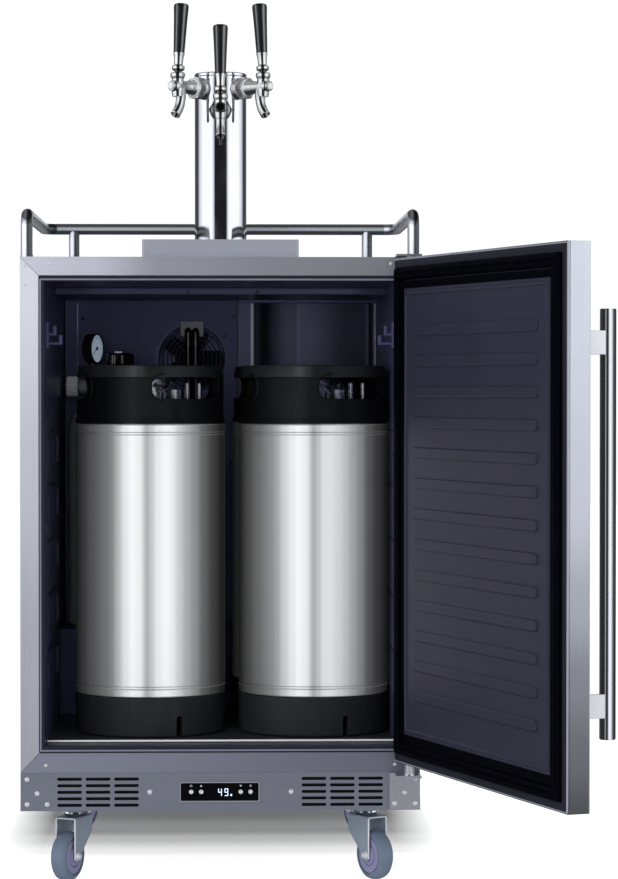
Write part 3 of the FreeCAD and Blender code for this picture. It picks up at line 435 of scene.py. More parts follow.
def painted_metal(name, base, roughness):
    """Sprayed paint with light orange peel."""
    made, tree, shader = new_material(name)
    patches = stretched_noise(tree, 12)
    set_inputs(tree, shader, Base_Color=drifting_colour(tree, patches, base, 0.85, 1.0), Coat_Weight=0.3,
               Roughness=remap(tree, patches, roughness - 0.05, roughness + 0.08),
               Normal=bump(tree, stretched_noise(tree, 260, 2.0), 0.08))
    return made


def cast_metal(name, base, roughness):
    """Machined and tumbled metal with fine turning marks."""
    made, tree, shader = new_material(name)
    dull = stretched_noise(tree, 45)
    set_inputs(tree, shader, Base_Color=drifting_colour(tree, dull, base, 0.75, 1.0), Metallic=1.0,
               Roughness=drift(tree, dull, roughness - 0.08, roughness + 0.12),
               Normal=bump(tree, stretched_noise(tree, (400, 400, 2600), 3.0), 0.08, 0.0002))
    return made


def foam_material(name):
    """Rigid insulation foam with its open cells."""
    made, tree, shader = new_material(name)
    cells = add_node(tree, "TexVoronoi", {"Vector": object_place(tree), "Scale": 700.0}).outputs["Distance"]
    tone = colour_mix(tree, cells, rgb(0.62, 0.54, 0.36), rgb(0.80, 0.74, 0.56))
    set_inputs(tree, shader, Base_Color=tone, Roughness=0.9, Normal=bump(tree, cells, 0.3, 0.0005))
    return made


def glowing(name, colour, strength):
    """A lit surface, or an enamelled one given a painted glow, that gives off a slightly uneven light."""
    made, tree, shader = new_material(name)
    uneven = stretched_noise(tree, 900, 1.0)
    set_inputs(tree, shader, Base_Color=rgb(*(c * 0.2 for c in colour)), Roughness=0.4,
               Emission_Color=rgb(*colour),
               Emission_Strength=remap(tree, uneven, strength * 0.85, strength * 1.1))
    return made


def glossy_black(name, base, sheen):
    """Piano-black lacquer with faint wiping haze."""
    made, tree, shader = new_material(name)
    haze = stretched_noise(tree, 16, 5.0)
    set_inputs(tree, shader, Base_Color=drifting_colour(tree, haze, base, 1.0, 1.8, 0.0, 1.0),
               Specular_IOR_Level=sheen, Roughness=remap(tree, haze, 0.10, 0.15, 0.4, 0.7))
    return made


# Each material by its name: the function that makes it, its arguments, and its settings.
RECIPES = {
    # Painted light and shade: the stiles and the two rails are one stainless set to different greys, and the
    # cabinet sides, stiles, rails and door pan (apart from its outer face) darken along an axis as painted
    # shade.
    "steel_up": (brushed_steel, (GRAIN_UP, (0.78, 0.80, 0.88), 0.30), {"fade": SIDE_PAINTED_SHADE}),
    "steel_across": (brushed_steel, (GRAIN_ACROSS, (0.40, 0.41, 0.475), 0.32), {}),
    "top_rail_steel": (brushed_steel, (GRAIN_ACROSS, (0.66, 0.67, 0.76), 0.32),
                       {"axis": "X", "fade": TOP_RAIL_PAINTED_SHADE}),
    "low_rail_steel": (brushed_steel, (GRAIN_ACROSS, (0.24, 0.25, 0.32), 0.32),
                       {"axis": "X", "fade": LOW_RAIL_PAINTED_SHADE}),
    "kick_steel": (brushed_steel, (GRAIN_ACROSS, (0.195, 0.205, 0.255), 0.34), {}),
    "door_steel": (brushed_steel, ((240, 240, 3), (0.86, 0.88, 0.93), 0.30, 0.12, 1.0),
                   {"fade": DOOR_PAINTED_SHADE, "plain_face": "X", "metallic": 1.0}),
    "satin_steel": (brushed_steel, (GRAIN_NONE, (0.76, 0.77, 0.80), 0.26, 0.05), {"metallic": 1.0}),
    "bright_steel": (brushed_steel, (GRAIN_NONE, (0.93, 0.94, 0.96), 0.35, 0.03, 0.3), {"metallic": 0.5}),
    # Near white as a painted highlight along the floor plate's edge.
    "lip_steel": (brushed_steel, ((3, 600, 600), WHITE, 0.35, 0.03, 0.1), {"metallic": 0.1}),
    "dark_plate": (brushed_steel, ((3, 300, 300), (0.030, 0.032, 0.042), 0.40, 0.12, 1.0), {"metallic": 0.2}),
    "zinc": (brushed_steel, ((60, 60, 30), (0.34, 0.39, 0.48), 0.34, 0.05, 0.8), {}),
    "chrome": (polished_chrome, (), {}),
    # The tubes below carry painted reflections, highlights and shade by the way they face.
    "keg_steel": (satin_painted_light_tube, (WHITE, KEG_ACROSS, KEG_UP), {"smudges": 0.0, "smear": (3, 3, 1)}),
    "tap_plate": (satin_painted_light_tube, (WHITE, TAP_ACROSS, TAP_UP, 0.30), {}),
    "tap_grip": (satin_painted_light_tube, (WHITE, GRIP_ACROSS, LEVEL_UP, 0.0), {}),
    "pull_plate": (satin_painted_light_tube, ((0.86, 0.88, 0.93), PULL_ACROSS, LEVEL_UP), {}),
    "rail_plate": (satin_painted_light_tube, ((0.88, 0.92, 1.0), RAIL_ACROSS, RAIL_UP), {}),
    "liner": (moulded_plastic, ((0.062, 0.061, 0.134), 0.30), {"sheen": 0.45, "tint": BLUE_GLOSS}),
    # Copies of the liner plastic: the next two are set darker as painted shade, the bead's light grey is a
    # painted highlight on rounded edges, and the recess is lighter, with painted light and shade.
    "bulkhead": (moulded_plastic, ((0.034, 0.034, 0.062), 0.30), {"sheen": 0.45, "tint": BLUE_GLOSS}),
    "liner_trim": (moulded_plastic, ((0.012, 0.012, 0.026), 0.35), {"sheen": 0.3, "tint": BLUE_GLOSS}),
    "liner_bead": (moulded_plastic, ((0.38, 0.38, 0.50), 0.35), {}),
    "recess": (moulded_plastic, ((0.085, 0.085, 0.130), 0.32),
               {"strength": 0.04, "variation": 0.06, "sheen": 0.3, "tint": BLUE_GLOSS,
                "level": recess_painted_light}),
    # The cover's grille is darkened as painted shade.
    "cover": (moulded_plastic, ((0.100, 0.106, 0.200), 0.36), {"tint": BLUE_GLOSS, "level": grille_painted_shade}),
    "bracket": (moulded_plastic, ((0.030, 0.031, 0.052), 0.36), {}),
    "seal_flap": (moulded_plastic, ((0.018, 0.018, 0.028), 0.5), {"sheen": 0.1}),
    "breaker": (moulded_plastic, ((0.17, 0.175, 0.235), 0.40, 600), {"strength": 0.12}),
    # The breaker plastic set dark in its groove, as painted shade.
    "breaker_groove": (moulded_plastic, ((0.020, 0.020, 0.030), 0.45, 600), {"strength": 0.12, "sheen": 0.1}),
    "door_liner": (moulded_plastic, ((0.028, 0.026, 0.046), 0.45, 600),
                   {"variation": 0.05, "sheen": 0.3, "tint": (0.8, 0.8, 1.0)}),
    "gasket": (rubber, ((0.0008, 0.0008, 0.003), 0.60, 0.03), {}),
    # The collar and its top band carry painted highlights and shade by facing, and the band is a lighter copy
    # of the collar rubber, as painted light.
    "keg_rubber": (rubber, ((0.0075, 0.0078, 0.0095), 0.50, 0.20, BOOT_ACROSS), {}),
    "band_rubber": (rubber, ((0.0115, 0.012, 0.0135), 0.45, 0.30, BAND_ACROSS), {}),
    "boot_rubber": (rubber, ((0.020, 0.0205, 0.024), 0.50, 0.25), {}),
    "black_plastic": (moulded_plastic, ((0.008, 0.008, 0.010), 0.38, 500), {"strength": 0.1, "sheen": 0.3}),
    "grey_plastic": (moulded_plastic, ((0.80, 0.82, 0.86), 0.42, 500, 0.05, 0.08), {}),
    "tyre": (moulded_plastic, ((0.125, 0.165, 0.23), 0.42, 800, 0.0, 0.1, 0.06, 0.4), {}),
    "hub": (moulded_plastic, ((0.22, 0.22, 0.37), 0.42, 700, 0.05, 0.08, 0.06), {}),
    "ink": (moulded_plastic, ((0.02, 0.02, 0.02), 0.5, 600), {"strength": 0.12}),
    "gloss_black": (glossy_black, ((0.002, 0.002, 0.003), 0.22), {}),
    "screen": (glossy_black, ((0.001, 0.001, 0.0015), 0.10), {}),
    "galvanised": (galvanised, (), {}),
    "brass": (cast_metal, ((0.56, 0.52, 0.44), 0.30), {}),
    "coil": (cast_metal, ((0.66, 0.67, 0.69), 0.4), {}),
    "bottle": (painted_metal, ((0.42, 0.44, 0.47), 0.38), {}),
    "compressor": (painted_metal, ((0.015, 0.015, 0.016), 0.4), {}),
    "needle": (painted_metal, ((0.10, 0.01, 0.01), 0.4), {}),
    "foam": (foam_material, (), {}),
    "digit": (glowing, ((0.62, 0.78, 1.0), 1.6), {}),
    "icon": (glowing, ((0.75, 0.78, 0.85), 0.55), {}),
    # The gauge's enamel dial glows as painted light.
    "dial": (glowing, ((0.60, 0.76, 0.92), 0.30), {}),
}
MAT = {name: make(name, *values, **settings) for name, (make, values, settings) in RECIPES.items()}


# Mesh helpers. A part is a (vertices, faces) pair.


def mm(points):
    """Points given in millimetres, in metres."""
    return [tuple(value / 1000 for value in point) for point in points]


def shifted(points, across, up):
    """Profile points moved in their own plane."""
    return [(a + across, b + up) for a, b in points]


def mesh_piece(name, vertices, faces, smooth=40):
    """A mesh object from vertices and faces, shaded smooth below an angle in degrees."""
    mesh = bpy.data.meshes.new(name)
    mesh.from_pydata([tuple(v) for v in vertices], [], faces)
    mesh.validate()
    work = bmesh.new()
    work.from_mesh(mesh)
    bmesh.ops.recalc_face_normals(work, faces=work.faces)
    work.to_mesh(mesh)
    work.free()
    made = bpy.data.objects.new(name, mesh)
    bpy.context.scene.collection.objects.link(made)
    shade(made, smooth)
    return made


def shade(piece, angle=40):
    """Smooth shading led by the large faces, with edges sharper than an angle kept."""
    piece.data.shade_smooth()
    piece.data.set_sharp_from_angle(angle=math.radians(angle))
    modifier = piece.modifiers.new("face_weighted", "WEIGHTED_NORMAL")
    modifier.keep_sharp = True


def joined_parts(parts):
    """One part from several."""
    vertices = []
    faces = []
    for part_vertices, part_faces in parts:
        start = len(vertices)
        vertices.extend(part_vertices)
        faces.extend([tuple(start + i for i in face) for face in part_faces])
    return vertices, faces


def combined(name, parts, smooth=40):
    """One object from several parts."""
    return mesh_piece(name, *joined_parts(parts), smooth)


def moved_part(part, matrix):
    """A part put through a matrix."""
    return [matrix @ Vector(v) for v in part[0]], part[1]


def moved_parts(parts, matrix):
    """Several parts put through one matrix."""
    return [moved_part(part, matrix) for part in parts]


def skin(rings, loop=False, closed=True, caps=True):
    """A part over rings of points. A loop joins its last ring to its first, and caps close its two ends."""
    count = len(rings[0])
    faces = []
    for i in range(len(rings) if loop else len(rings) - 1):
        here = i * count
        there = (i + 1) % len(rings) * count
        for step in range(count if closed else count - 1):
            nxt = (step + 1) % count
            faces.append((here + step, here + nxt, there + nxt, there + step))
    if caps:
        last = (len(rings) - 1) * count
        faces += [tuple(reversed(range(count))), tuple(range(last, last + count))]
    return [point for ring in rings for point in ring], faces


def lathe(profile, segments=96, closed=True):
    """A ring about +Z from (radius, height) points; closed joins the last to the first."""
    rings = []
    for step in range(segments):
        angle = 2 * math.pi * step / segments
        rings.append([(r * math.cos(angle), r * math.sin(angle), z) for r, z in profile])
    return skin(rings, loop=True, closed=closed, caps=False)


def solid_lathe(profile, segments=64):
    """A lathe whose profile starts and ends near the axis, closed with flat ends."""
    vertices, faces = lathe(profile, segments, False)
    count = len(profile)
    for end in (0, count - 1):
        faces.append(tuple(step * count + end for step in range(segments)))
    return vertices, faces


def tube(points, radii, segments=24, cap=True):
    """A tube along points with a radius at each, its frame carried along the path."""
    points = [Vector(p) for p in points]
    if not isinstance(radii, (list, tuple)):
        radii = [radii] * len(points)
    rings = []
    side = None
    for i, point in enumerate(points):
        ahead = (points[min(i + 1, len(points) - 1)] - points[max(i - 1, 0)]).normalized()
        if side is None:
            side = ahead.orthogonal().normalized()
        side = (side - ahead * side.dot(ahead)).normalized()
        other = ahead.cross(side)
        turns = [2 * math.pi * step / segments for step in range(segments)]
        rings.append([point + (side * math.cos(turn) + other * math.sin(turn)) * radii[i] for turn in turns])
    return skin(rings, caps=cap)


def smooth_path(points, steps=10):
    """Points along a Catmull-Rom curve through the given points."""
    points = [Vector(p) for p in points]
    padded = [points[0] * 2 - points[1]] + points + [points[-1] * 2 - points[-2]]
    path = []
    for a, b, c, d in zip(padded, padded[1:], padded[2:], padded[3:]):
        for step in range(steps):
            t = step / steps
            path.append(0.5 * ((2 * b) + (c - a) * t + (2 * a - 5 * b + 4 * c - d) * t * t
                               + (3 * b - a - 3 * c + d) * t ** 3))
    path.append(points[-1])
    return path


def rounded_path(points, bend, steps=10):
    """Points along straight runs with an arc of one radius at each corner."""
    points = [Vector(p) for p in points]
    path = [points[0]]
    for before, corner, after in zip(points, points[1:], points[2:]):
        inward = (before - corner).normalized()
        outward = (after - corner).normalized()
        half_angle = inward.angle(outward) / 2
        setback = bend / math.tan(half_angle)
        centre = corner + (inward + outward).normalized() * (bend / math.sin(half_angle))
        start = corner + inward * setback - centre
        end = corner + outward * setback - centre
        sweep = start.angle(end)
        for step in range(steps + 1):
            turn = sweep * step / steps
            path.append(centre + (start * math.sin(sweep - turn) + end * math.sin(turn)) / math.sin(sweep))
    path.append(points[-1])
    return path


def bevelled(work, **settings):
    """The part held by a bmesh, its edges bevelled. The bmesh is freed."""
    bmesh.ops.bevel(work, geom=list(work.edges), affect="EDGES", **settings)
    work.verts.index_update()
    part = [v.co.copy() for v in work.verts], [tuple(v.index for v in face.verts) for face in work.faces]
    work.free()
    return part


def slab(x0, x1, y0, y1, z0, z1, bevel=0.001, segments=2):
    """A box with softened edges."""
    work = bmesh.new()
    bmesh.ops.create_cube(work, size=1.0)
    bmesh.ops.scale(work, vec=(x1 - x0, y1 - y0, z1 - z0), verts=work.verts)
    bmesh.ops.translate(work, vec=((x0 + x1) / 2, (y0 + y1) / 2, (z0 + z1) / 2), verts=work.verts)
    return bevelled(work, offset=bevel, segments=segments, profile=0.7)


def prism(corners, y0, y1, bevel=0.0004):
    """A flat bar in the XZ plane from its corners, with softened edges."""
    work = bmesh.new()
    front = [work.verts.new((x, y0, z)) for x, z in corners]
    back = [work.verts.new((x, y1, z)) for x, z in corners]
    work.faces.new(front)
    work.faces.new(list(reversed(back)))
    for i in range(len(corners)):
        j = (i + 1) % len(corners)
        work.faces.new((front[j], front[i], back[i], back[j]))
    bmesh.ops.recalc_face_normals(work, faces=work.faces)
    return bevelled(work, offset=bevel, segments=1)


def arc(centre, radius, start, end, steps):
    """Points of an arc between two angles in degrees."""
    turns = [math.radians(start + (end - start) * step / steps) for step in range(steps + 1)]
    return [(centre[0] + radius * math.cos(turn), centre[1] + radius * math.sin(turn)) for turn in turns]


def rounded_outline(x0, x1, z0, z1, radius, steps=8):
    """Corner-rounded rectangle in the XZ plane, counter-clockwise seen from -Y."""
    outline = []
    for cx, cz, start in ((x1 - radius, z1 - radius, 0), (x0 + radius, z1 - radius, 90),
                          (x0 + radius, z0 + radius, 180), (x1 - radius, z0 + radius, 270)):
        outline += arc((cx, cz), radius, start, start + 90, steps)
    return outline


def framed_strip(half_x, z0, z1, radius, profile, steps=8):
    """A closed profile carried round a rounded rectangle. Each profile point is (inset, y)."""
    rings = []
    for inset, y in profile:
        outline = rounded_outline(-half_x + inset, half_x - inset, z0 + inset, z1 - inset,
                                  max(radius - inset, 0.0005), steps)
        rings.append([(x, y, z) for x, z in outline])
    return skin(rings, loop=True, caps=False)


def pad(x0, x1, z0, z1, radius, y_face, y_base, bevel, steps=8, rounds=3):
    """A rounded rectangular plate in the XZ plane whose visible edge at y_face is rolled over by a bevel."""
    inward = 1 if y_base > y_face else -1
    rings = []
    for step in range(rounds + 1):
        angle = math.pi / 2 * step / rounds
        inset = bevel * (1 - math.sin(angle))
        y = y_face + inward * bevel * (1 - math.cos(angle))
        outline = rounded_outline(x0 + inset, x1 - inset, z0 + inset, z1 - inset, max(radius - inset, 0.0002),
                                  steps)
        rings.append([(x, y, z) for x, z in outline])
    rings.append([(x, y_base, z) for x, z in rounded_outline(x0, x1, z0, z1, radius, steps)])
    return skin(rings)


def plate(outline, y0, y1, bevel):
    """A flat plate in the XZ plane from an outline, its front edge softened. y0 is the visible face."""
    centre = sum((Vector(point) for point in outline), Vector((0, 0))) / len(outline)
    step_in = 1 if y1 > y0 else -1
    rings = []
    for shrink, y in ((bevel, y0), (0, y0 + step_in * bevel), (0, y1)):
        ring = []
        for point in outline:
            away = Vector(point) - centre
            x, z = centre + away * ((away.length - shrink) / away.length)
            ring.append((x, y, z))
        rings.append(ring)
    return skin(rings)


def upright(outline, z0, z1):
    """A column with an XY outline from one height to another."""
    return skin([[(x, y, z) for x, y in outline] for z in (z0, z1)])


def facing(point, normal, spin=0.0):
    """A matrix that takes local +Z to a normal, and the local origin to a point."""
    turn = Vector(normal).to_track_quat("Z", "Y").to_matrix().to_4x4()
    return Matrix.Translation(Vector(point)) @ turn @ Matrix.Rotation(spin, 4, "Z")


def screw(point, normal, radius):
    """A pan-head screw with a cross recess."""
    scale = radius / 3.5
    profile = [(3.5, -0.6), (3.4, 0.4), (2.7, 1.1), (1.6, 1.5), (0.3, 1.6)]
    head = solid_lathe([(r * scale, z * scale) for r, z in profile], 24)
    bar = slab(-1.8 * scale, 1.8 * scale, -0.4 * scale, 0.4 * scale, 1.3 * scale, 1.75 * scale, 0.0001, 1)
    crossbar = moved_part(bar, Matrix.Rotation(math.pi / 2, 4, "Z"))
    return joined_parts(moved_parts([head, bar, crossbar], facing(point, normal, random.uniform(0, math.pi))))


def screws(spots, y, radius, normal=(0, -1, 0)):
    """Screws of one size at (x, z) spots on a plane across Y."""
    return [screw((x, y, z), normal, radius) for x, z in spots]


def ribbed_wall(radius, rib, z0, z1, pitch):
    """Profile points of a tube wall with a rib every pitch."""
    profile = []
    for n in range(int((z1 - z0) / pitch)):
        z = z0 + n * pitch
        profile += [(radius - rib, z), (radius - rib, z + pitch * 0.35), (radius, z + pitch * 0.5),
                    (radius, z + pitch * 0.85)]
    return profile


def soften(piece, width, segments=2):
    """A bevel on a piece's sharp edges."""
    modifier = piece.modifiers.new("soft_edges", "BEVEL")
    modifier.width = width
    modifier.segments = segments
    modifier.limit_method = "ANGLE"
    modifier.angle_limit = math.radians(40)
    modifier.harden_normals = True


def cut_away(piece, cutters, bevel):
    """Cuts parts out of a piece for good, and softens the new edges."""
    for vertices, faces in cutters:
        tool = mesh_piece("cutter", vertices, faces)
        modifier = piece.modifiers.new("cut", "BOOLEAN")
        modifier.operation = "DIFFERENCE"
        modifier.solver = "EXACT"
        modifier.object = tool
        depsgraph = bpy.context.evaluated_depsgraph_get()
        mesh = bpy.data.meshes.new_from_object(piece.evaluated_get(depsgraph))
        piece.modifiers.clear()
        piece.data = mesh
        bpy.data.objects.remove(tool)
    soften(piece, bevel)


def paint(node, material, edge=0.0):
    """Gives a carried-over CAD node its material, and softens its sharp edges by a width."""
    piece = NODES[node]
    piece.data.materials.clear()
    piece.data.materials.append(MAT[material])
    if edge:
        soften(piece, edge)


def finish(piece, body, material, *replaced):
    """Gives a piece its material and body, and hides the CAD nodes it stands for."""
    piece.data.materials.clear()
    piece.data.materials.append(MAT[material])
    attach(piece, body)
    if replaced:
        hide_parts(*replaced)


def build(name, parts, body, material, *replaced, smooth=40):
    """A finished piece from its parts."""
    finish(combined(name, parts, smooth), body, material, *replaced)


# Cabinet


def cabinet_shell():
    """Carried-over sheets with their seams and vents, and the floor plate's lip."""
    paint("cabinet_wrap", "steel_up")
    paint("back_panel", "galvanised")
    paint("base_pan", "galvanised")
    paint("foam_slabs", "foam")
    paint("floor_plate", "dark_plate")
    y = FRONT + 0.0502
    half = CAVITY_HALF - 0.0015
    # A white lip on the plate's front edge: a painted highlight.
    lip = slab(-half, half, y - 0.0008, y + 0.0025, FLOOR_Z - 0.0007, FLOOR_Z + 0.0020, 0.0005)
    build("floor_plate_lip", [lip], "cabinet", "lip_steel")
    paint("kick_panel", "kick_steel")


def front_frame():
    """Two stiles and two rails with a mitre gap at each corner."""
    inner_x = HALF - FRAME_W
    low = KICK_TOP + FRAME_W + 0.002
    high = DECK_Z - FRAME_W
    gap = 0.0003
    for side, name in ((-1, "left"), (1, "right")):
        corners = [(side * HALF, KICK_TOP + 2 * gap), (side * inner_x, low + gap),
                   (side * inner_x, high - gap), (side * HALF, DECK_Z - 2 * gap)]
        part = prism(corners, FRONT, FRONT + 0.002)
        build("frame_stile_" + name, [part], "cabinet", "steel_up", "front_frame")
    for name, outer_z, inner_z in (("low", KICK_TOP, low), ("top", DECK_Z, high)):
        corners = [(-HALF + 2 * gap, outer_z), (HALF - 2 * gap, outer_z),
                   (inner_x - gap, inner_z), (-inner_x + gap, inner_z)]
        part = prism(corners, FRONT, FRONT + 0.002)
        # The rails take the frame's stainless at other greys: painted light and shade.
        build("frame_rail_" + name, [part], "cabinet", name + "_rail_steel", "front_frame")


def breaker_strip():
    """A groove inside the frame, set dark as painted shade, and the grey lip that borders the liner."""
    groove = [(0.0016, FRONT + 0.0012), (0.0095, FRONT + 0.0010), (0.0095, FRONT + 0.010),
              (0.0016, FRONT + 0.010)]
    strip = framed_strip(0.2735, 0.1965, 0.9155, 0.003, groove, 4)
    build("breaker_groove", [strip], "cabinet", "breaker_groove")
    lip = [(0.0036, FRONT + 0.0014), (0.0038, FRONT - 0.0002), (0.0050, FRONT - 0.0006),
           (0.0062, FRONT - 0.0002), (0.0064, FRONT + 0.0014)]
    strip = framed_strip(0.2745, 0.1965, 0.9130, 0.003, lip, 4)
    build("breaker_lip", [strip], "cabinet", "breaker")


def cabinet_screws():
    """Screws on the frame, kick panel and hinge bracket."""
    frame_spots = mm([(-255.5, 932), (-292.5, 929), (-292.5, 900), (-262, 179.5), (255.5, 932), (262, 179.5)])
    parts = screws(frame_spots, FRONT - 0.0001, 0.0026)
    kick_spots = mm([(-290, 158.5), (-275, 137.5), (-290, 121), (-260, 121), (-106, 139), (106, 139)])
    parts += screws(kick_spots, FRONT - 0.0001, 0.0038)
    plate_spots = mm([(261.5, 121), (292.5, 121), (276.5, 137.5), (292.5, 158)])
    parts += screws(plate_spots, FRONT - 0.0031, 0.0036)
    build("cabinet_screws", parts, "cabinet", "bright_steel")
    paint("hinge_brackets", "satin_steel", 0.0006)


def back_fittings():
    """Screws round the back sheet, and the power cord's grommet with the cord coiled and tied beside it."""
    spots = [(x, z) for x in (-0.285, -0.143, 0.0, 0.143, 0.285) for z in (0.130, 0.926)]
    spots += [(x, z) for x in (-0.285, 0.285) for z in (0.290, 0.450, 0.610, 0.770)]
    build("back_screws", screws(spots, BACK + 0.0001, 0.0036, (0, 1, 0)), "cabinet", "satin_steel")
    grommet = mm([(4, 0), (11, 0), (11, 3), (8.5, 4.4), (7, 10), (4, 11)])
    exit_x, exit_z, loop_z = 0.190, 0.205, 0.300
    parts = [moved_part(lathe(grommet, 32), facing((exit_x, BACK, exit_z), (0, 1, 0)))]
    path = [(exit_x, BACK + 0.004, exit_z), (exit_x, BACK + 0.012, exit_z),
            (exit_x - 0.010, BACK + 0.014, exit_z + 0.03)]
    for step in range(28):
        angle = math.pi * step / 6 - math.pi / 2
        path.append((0.150 + 0.034 * math.cos(angle), BACK + 0.0100 + 0.0050 * (step % 12) / 12,
                     loop_z + 0.070 * math.sin(angle)))
    parts.append(tube(smooth_path(path, 4), 0.0034, 14))
    tie_low, tie_high = loop_z - 0.0755, loop_z - 0.0610
    parts.append(slab(0.143, 0.157, BACK + 0.0010, BACK + 0.0200, tie_low, tie_high, 0.0020, 3))
    build("power_cord", parts, "cabinet", "black_plastic")


def kick_backing():
    """Dark baffle behind the vent slots."""
    parts = [pad(x0, x1, 0.114, 0.166, 0.002, FRONT + 0.010, FRONT + 0.012, 0.0004, 2)
             for x0, x1 in ((-0.262, -0.112), (0.112, 0.262))]
    build("kick_baffle", parts, "cabinet", "black_plastic")


def liner_shell():
    """Side walls, back, ceiling, floor and the step over the machine space, all softly edged."""
    wall = CAVITY_HALF + LINER_T
    back = CAVITY_BACK + LINER_T
    front = FRONT + LINER_T
    low = FLOOR_Z - 2 * LINER_T
    top = CEILING_Z + LINER_T
    left = -CAVITY_HALF - LINER_T / 2
    rear = CAVITY_BACK + LINER_T / 2
    parts = [slab(*box, low, top, 0.0006) for box in ((-wall, -CAVITY_HALF, front, back),
                                                      (CAVITY_HALF, wall, front, back),
                                                      (-wall, wall, CAVITY_BACK, back))]
    parts += [slab(-wall, wall, front, back, CEILING_Z, top, 0.0006),
              slab(left, STEP_RIGHT, STEP_FRONT, rear, STEP_TOP - LINER_T, STEP_TOP, 0.0008, 3),
              slab(left, STEP_RIGHT, STEP_FRONT, STEP_FRONT + LINER_T, low, STEP_TOP, 0.0008, 3),
              slab(STEP_RIGHT - LINER_T, STEP_RIGHT, STEP_FRONT, rear, low, STEP_TOP, 0.0008, 3)]
    build("liner_shell", parts, "cabinet", "liner", "inner_liner")
    # The floor takes the liner plastic set darker: painted shade.
    floor = [slab(STEP_RIGHT - LINER_T, wall, front, back, low, low + LINER_T, 0.0006),
             slab(-wall, STEP_RIGHT, front, STEP_FRONT, low, low + LINER_T, 0.0006)]
    build("liner_floor", floor, "cabinet", "liner_trim", "inner_liner")


def recess_outline():
    """The rear moulding seen from above: pillar, rounded corner, curve into the recess, and right margin."""
    pillar_x = RECESS_LEFT - 0.026
    nose = 0.006
    bend = 0.005
    outline = [(pillar_x, CAVITY_BACK - 0.0002), (pillar_x, COVER_Y)]
    outline += arc((RECESS_LEFT - nose, COVER_Y + nose), nose, -90, 0, 6)
    curve = [(RECESS_LEFT + 0.0005, COVER_Y + 0.012, 0), (RECESS_LEFT + 0.012, CAVITY_BACK - 0.020, 0),
             (RECESS_LEFT + 0.036, CAVITY_BACK - 0.010, 0), (RECESS_LEFT + 0.080, CAVITY_BACK - 0.002, 0)]
    outline += [(p.x, p.y) for p in smooth_path(curve, 6)]
    outline += [(RECESS_RIGHT - 0.008, CAVITY_BACK - 0.002), (RECESS_RIGHT - 0.0012, CAVITY_BACK - 0.006)]
    outline += arc((RECESS_RIGHT + bend, RECESS_RIM + bend), bend, 180, 270, 6)
    return outline + [(CAVITY_HALF - 0.0002, RECESS_RIM), (CAVITY_HALF - 0.0002, CAVITY_BACK - 0.0002)]


def wall_slab(side, near, far, *sizes):
    """A slab on a side wall, between two distances from the wall's face."""
    wall = side * CAVITY_HALF
    return slab(*sorted((wall - side * near, wall - side * far)), *sizes)


def wall_hook(side):
    """A two-pronged hook on the upper part of a side wall."""
    y = FRONT + 0.066
    parts = [wall_slab(side, 0.0, 0.004, y - 0.008, y + 0.008, 0.806, 0.846, 0.0012, 3)]
    for reach, top in ((0.0100, 0.840), (0.0190, 0.826)):
        low = top - 0.015
        parts.append(wall_slab(side, reach, reach + 0.0055, y - 0.005, y + 0.005, low, top, 0.0018, 3))
        parts.append(wall_slab(side, 0.0, reach + 0.004, y - 0.004, y + 0.004, low, low + 0.004, 0.0012, 2))
    return joined_parts(parts)


def liner_details():
    """Rounded mouldings, shelf cleats' long ribs, hooks, coves and ceiling screws."""
    liner_shell()
    low = FLOOR_Z - LINER_T
    top = BULKHEAD_Z - 0.0048
    # The rear moulding: a lighter copy of the liner plastic with painted light and shade.
    build("liner_recess", [upright(recess_outline(), low, top)], "cabinet", "recess", smooth=50)
    lintel = slab(RECESS_LEFT - 0.026, CAVITY_HALF - 0.0004, RECESS_RIM - 0.002, CAVITY_BACK - 0.0004,
                  top, BULKHEAD_Z + 0.0010, 0.0022, 4)
    build("liner_lintel", [lintel], "cabinet", "liner")
    # The ceiling's bulkhead: the liner plastic set darker, as painted shade.
    bulkhead = slab(-CAVITY_HALF, CAVITY_HALF, BULKHEAD_FRONT, CAVITY_BACK,
                    BULKHEAD_Z, CEILING_Z, 0.0030, 4)
    build("ceiling_bulkhead", [bulkhead], "cabinet", "bulkhead")
    spots = [(-0.052, 0.899), (0.058, 0.899)]
    build("ceiling_screws", screws(spots, BULKHEAD_FRONT - 0.0001, 0.0030), "cabinet", "dark_plate")
    # Three light grey beads along the liner's rounded edges stand for painted highlights.
    for name, x, y, r in (("left", -CAVITY_HALF + 0.0225, COVER_Y + 0.0012, 0.0016),
                          ("pillar", RECESS_LEFT - 0.0025, COVER_Y + 0.0030, 0.0036),
                          ("right", RECESS_RIGHT + 0.0070, RECESS_RIM + 0.0004, 0.0016)):
        bead = tube([(x, y, STEP_TOP), (x, y, top - 0.0010)], r, 20)
        build("liner_bead_" + name, [bead], "cabinet", "liner_bead")
    # The cleats, their ribs and the corner cove take the liner plastic set darker, as painted shade.
    ribs = []
    skim = 0.0002
    for side, reach in CLEAT_REACH.items():
        rib = 0.0040 if side < 0 else 0.0010
        for z in CLEAT_ROWS:
            for y in CLEAT_COLUMNS:
                ribs.append(wall_slab(side, 0.0, reach + 0.0003, y - skim, y + CLEAT_W + skim,
                                      z - skim, z + CLEAT_H + skim, 0.0011, 3))
            ribs.append(wall_slab(side, 0.0, rib, FRONT + 0.056, FRONT + 0.230,
                                  z + 0.050, z + 0.0545, 0.0005, 2))
    build("shelf_cleats", ribs, "cabinet", "liner_trim")
    build("wall_hooks", [wall_hook(side) for side in (-1, 1)], "cabinet", "liner")
    cove = [(-CAVITY_HALF + 0.0002, CAVITY_BACK - 0.0002)]
    cove += arc((-CAVITY_HALF + COVE_R, CAVITY_BACK - COVE_R), COVE_R, 180, 90, 6)
    build("liner_cove", [upright(cove, STEP_TOP, BULKHEAD_Z)], "cabinet", "liner_trim")


# Controller

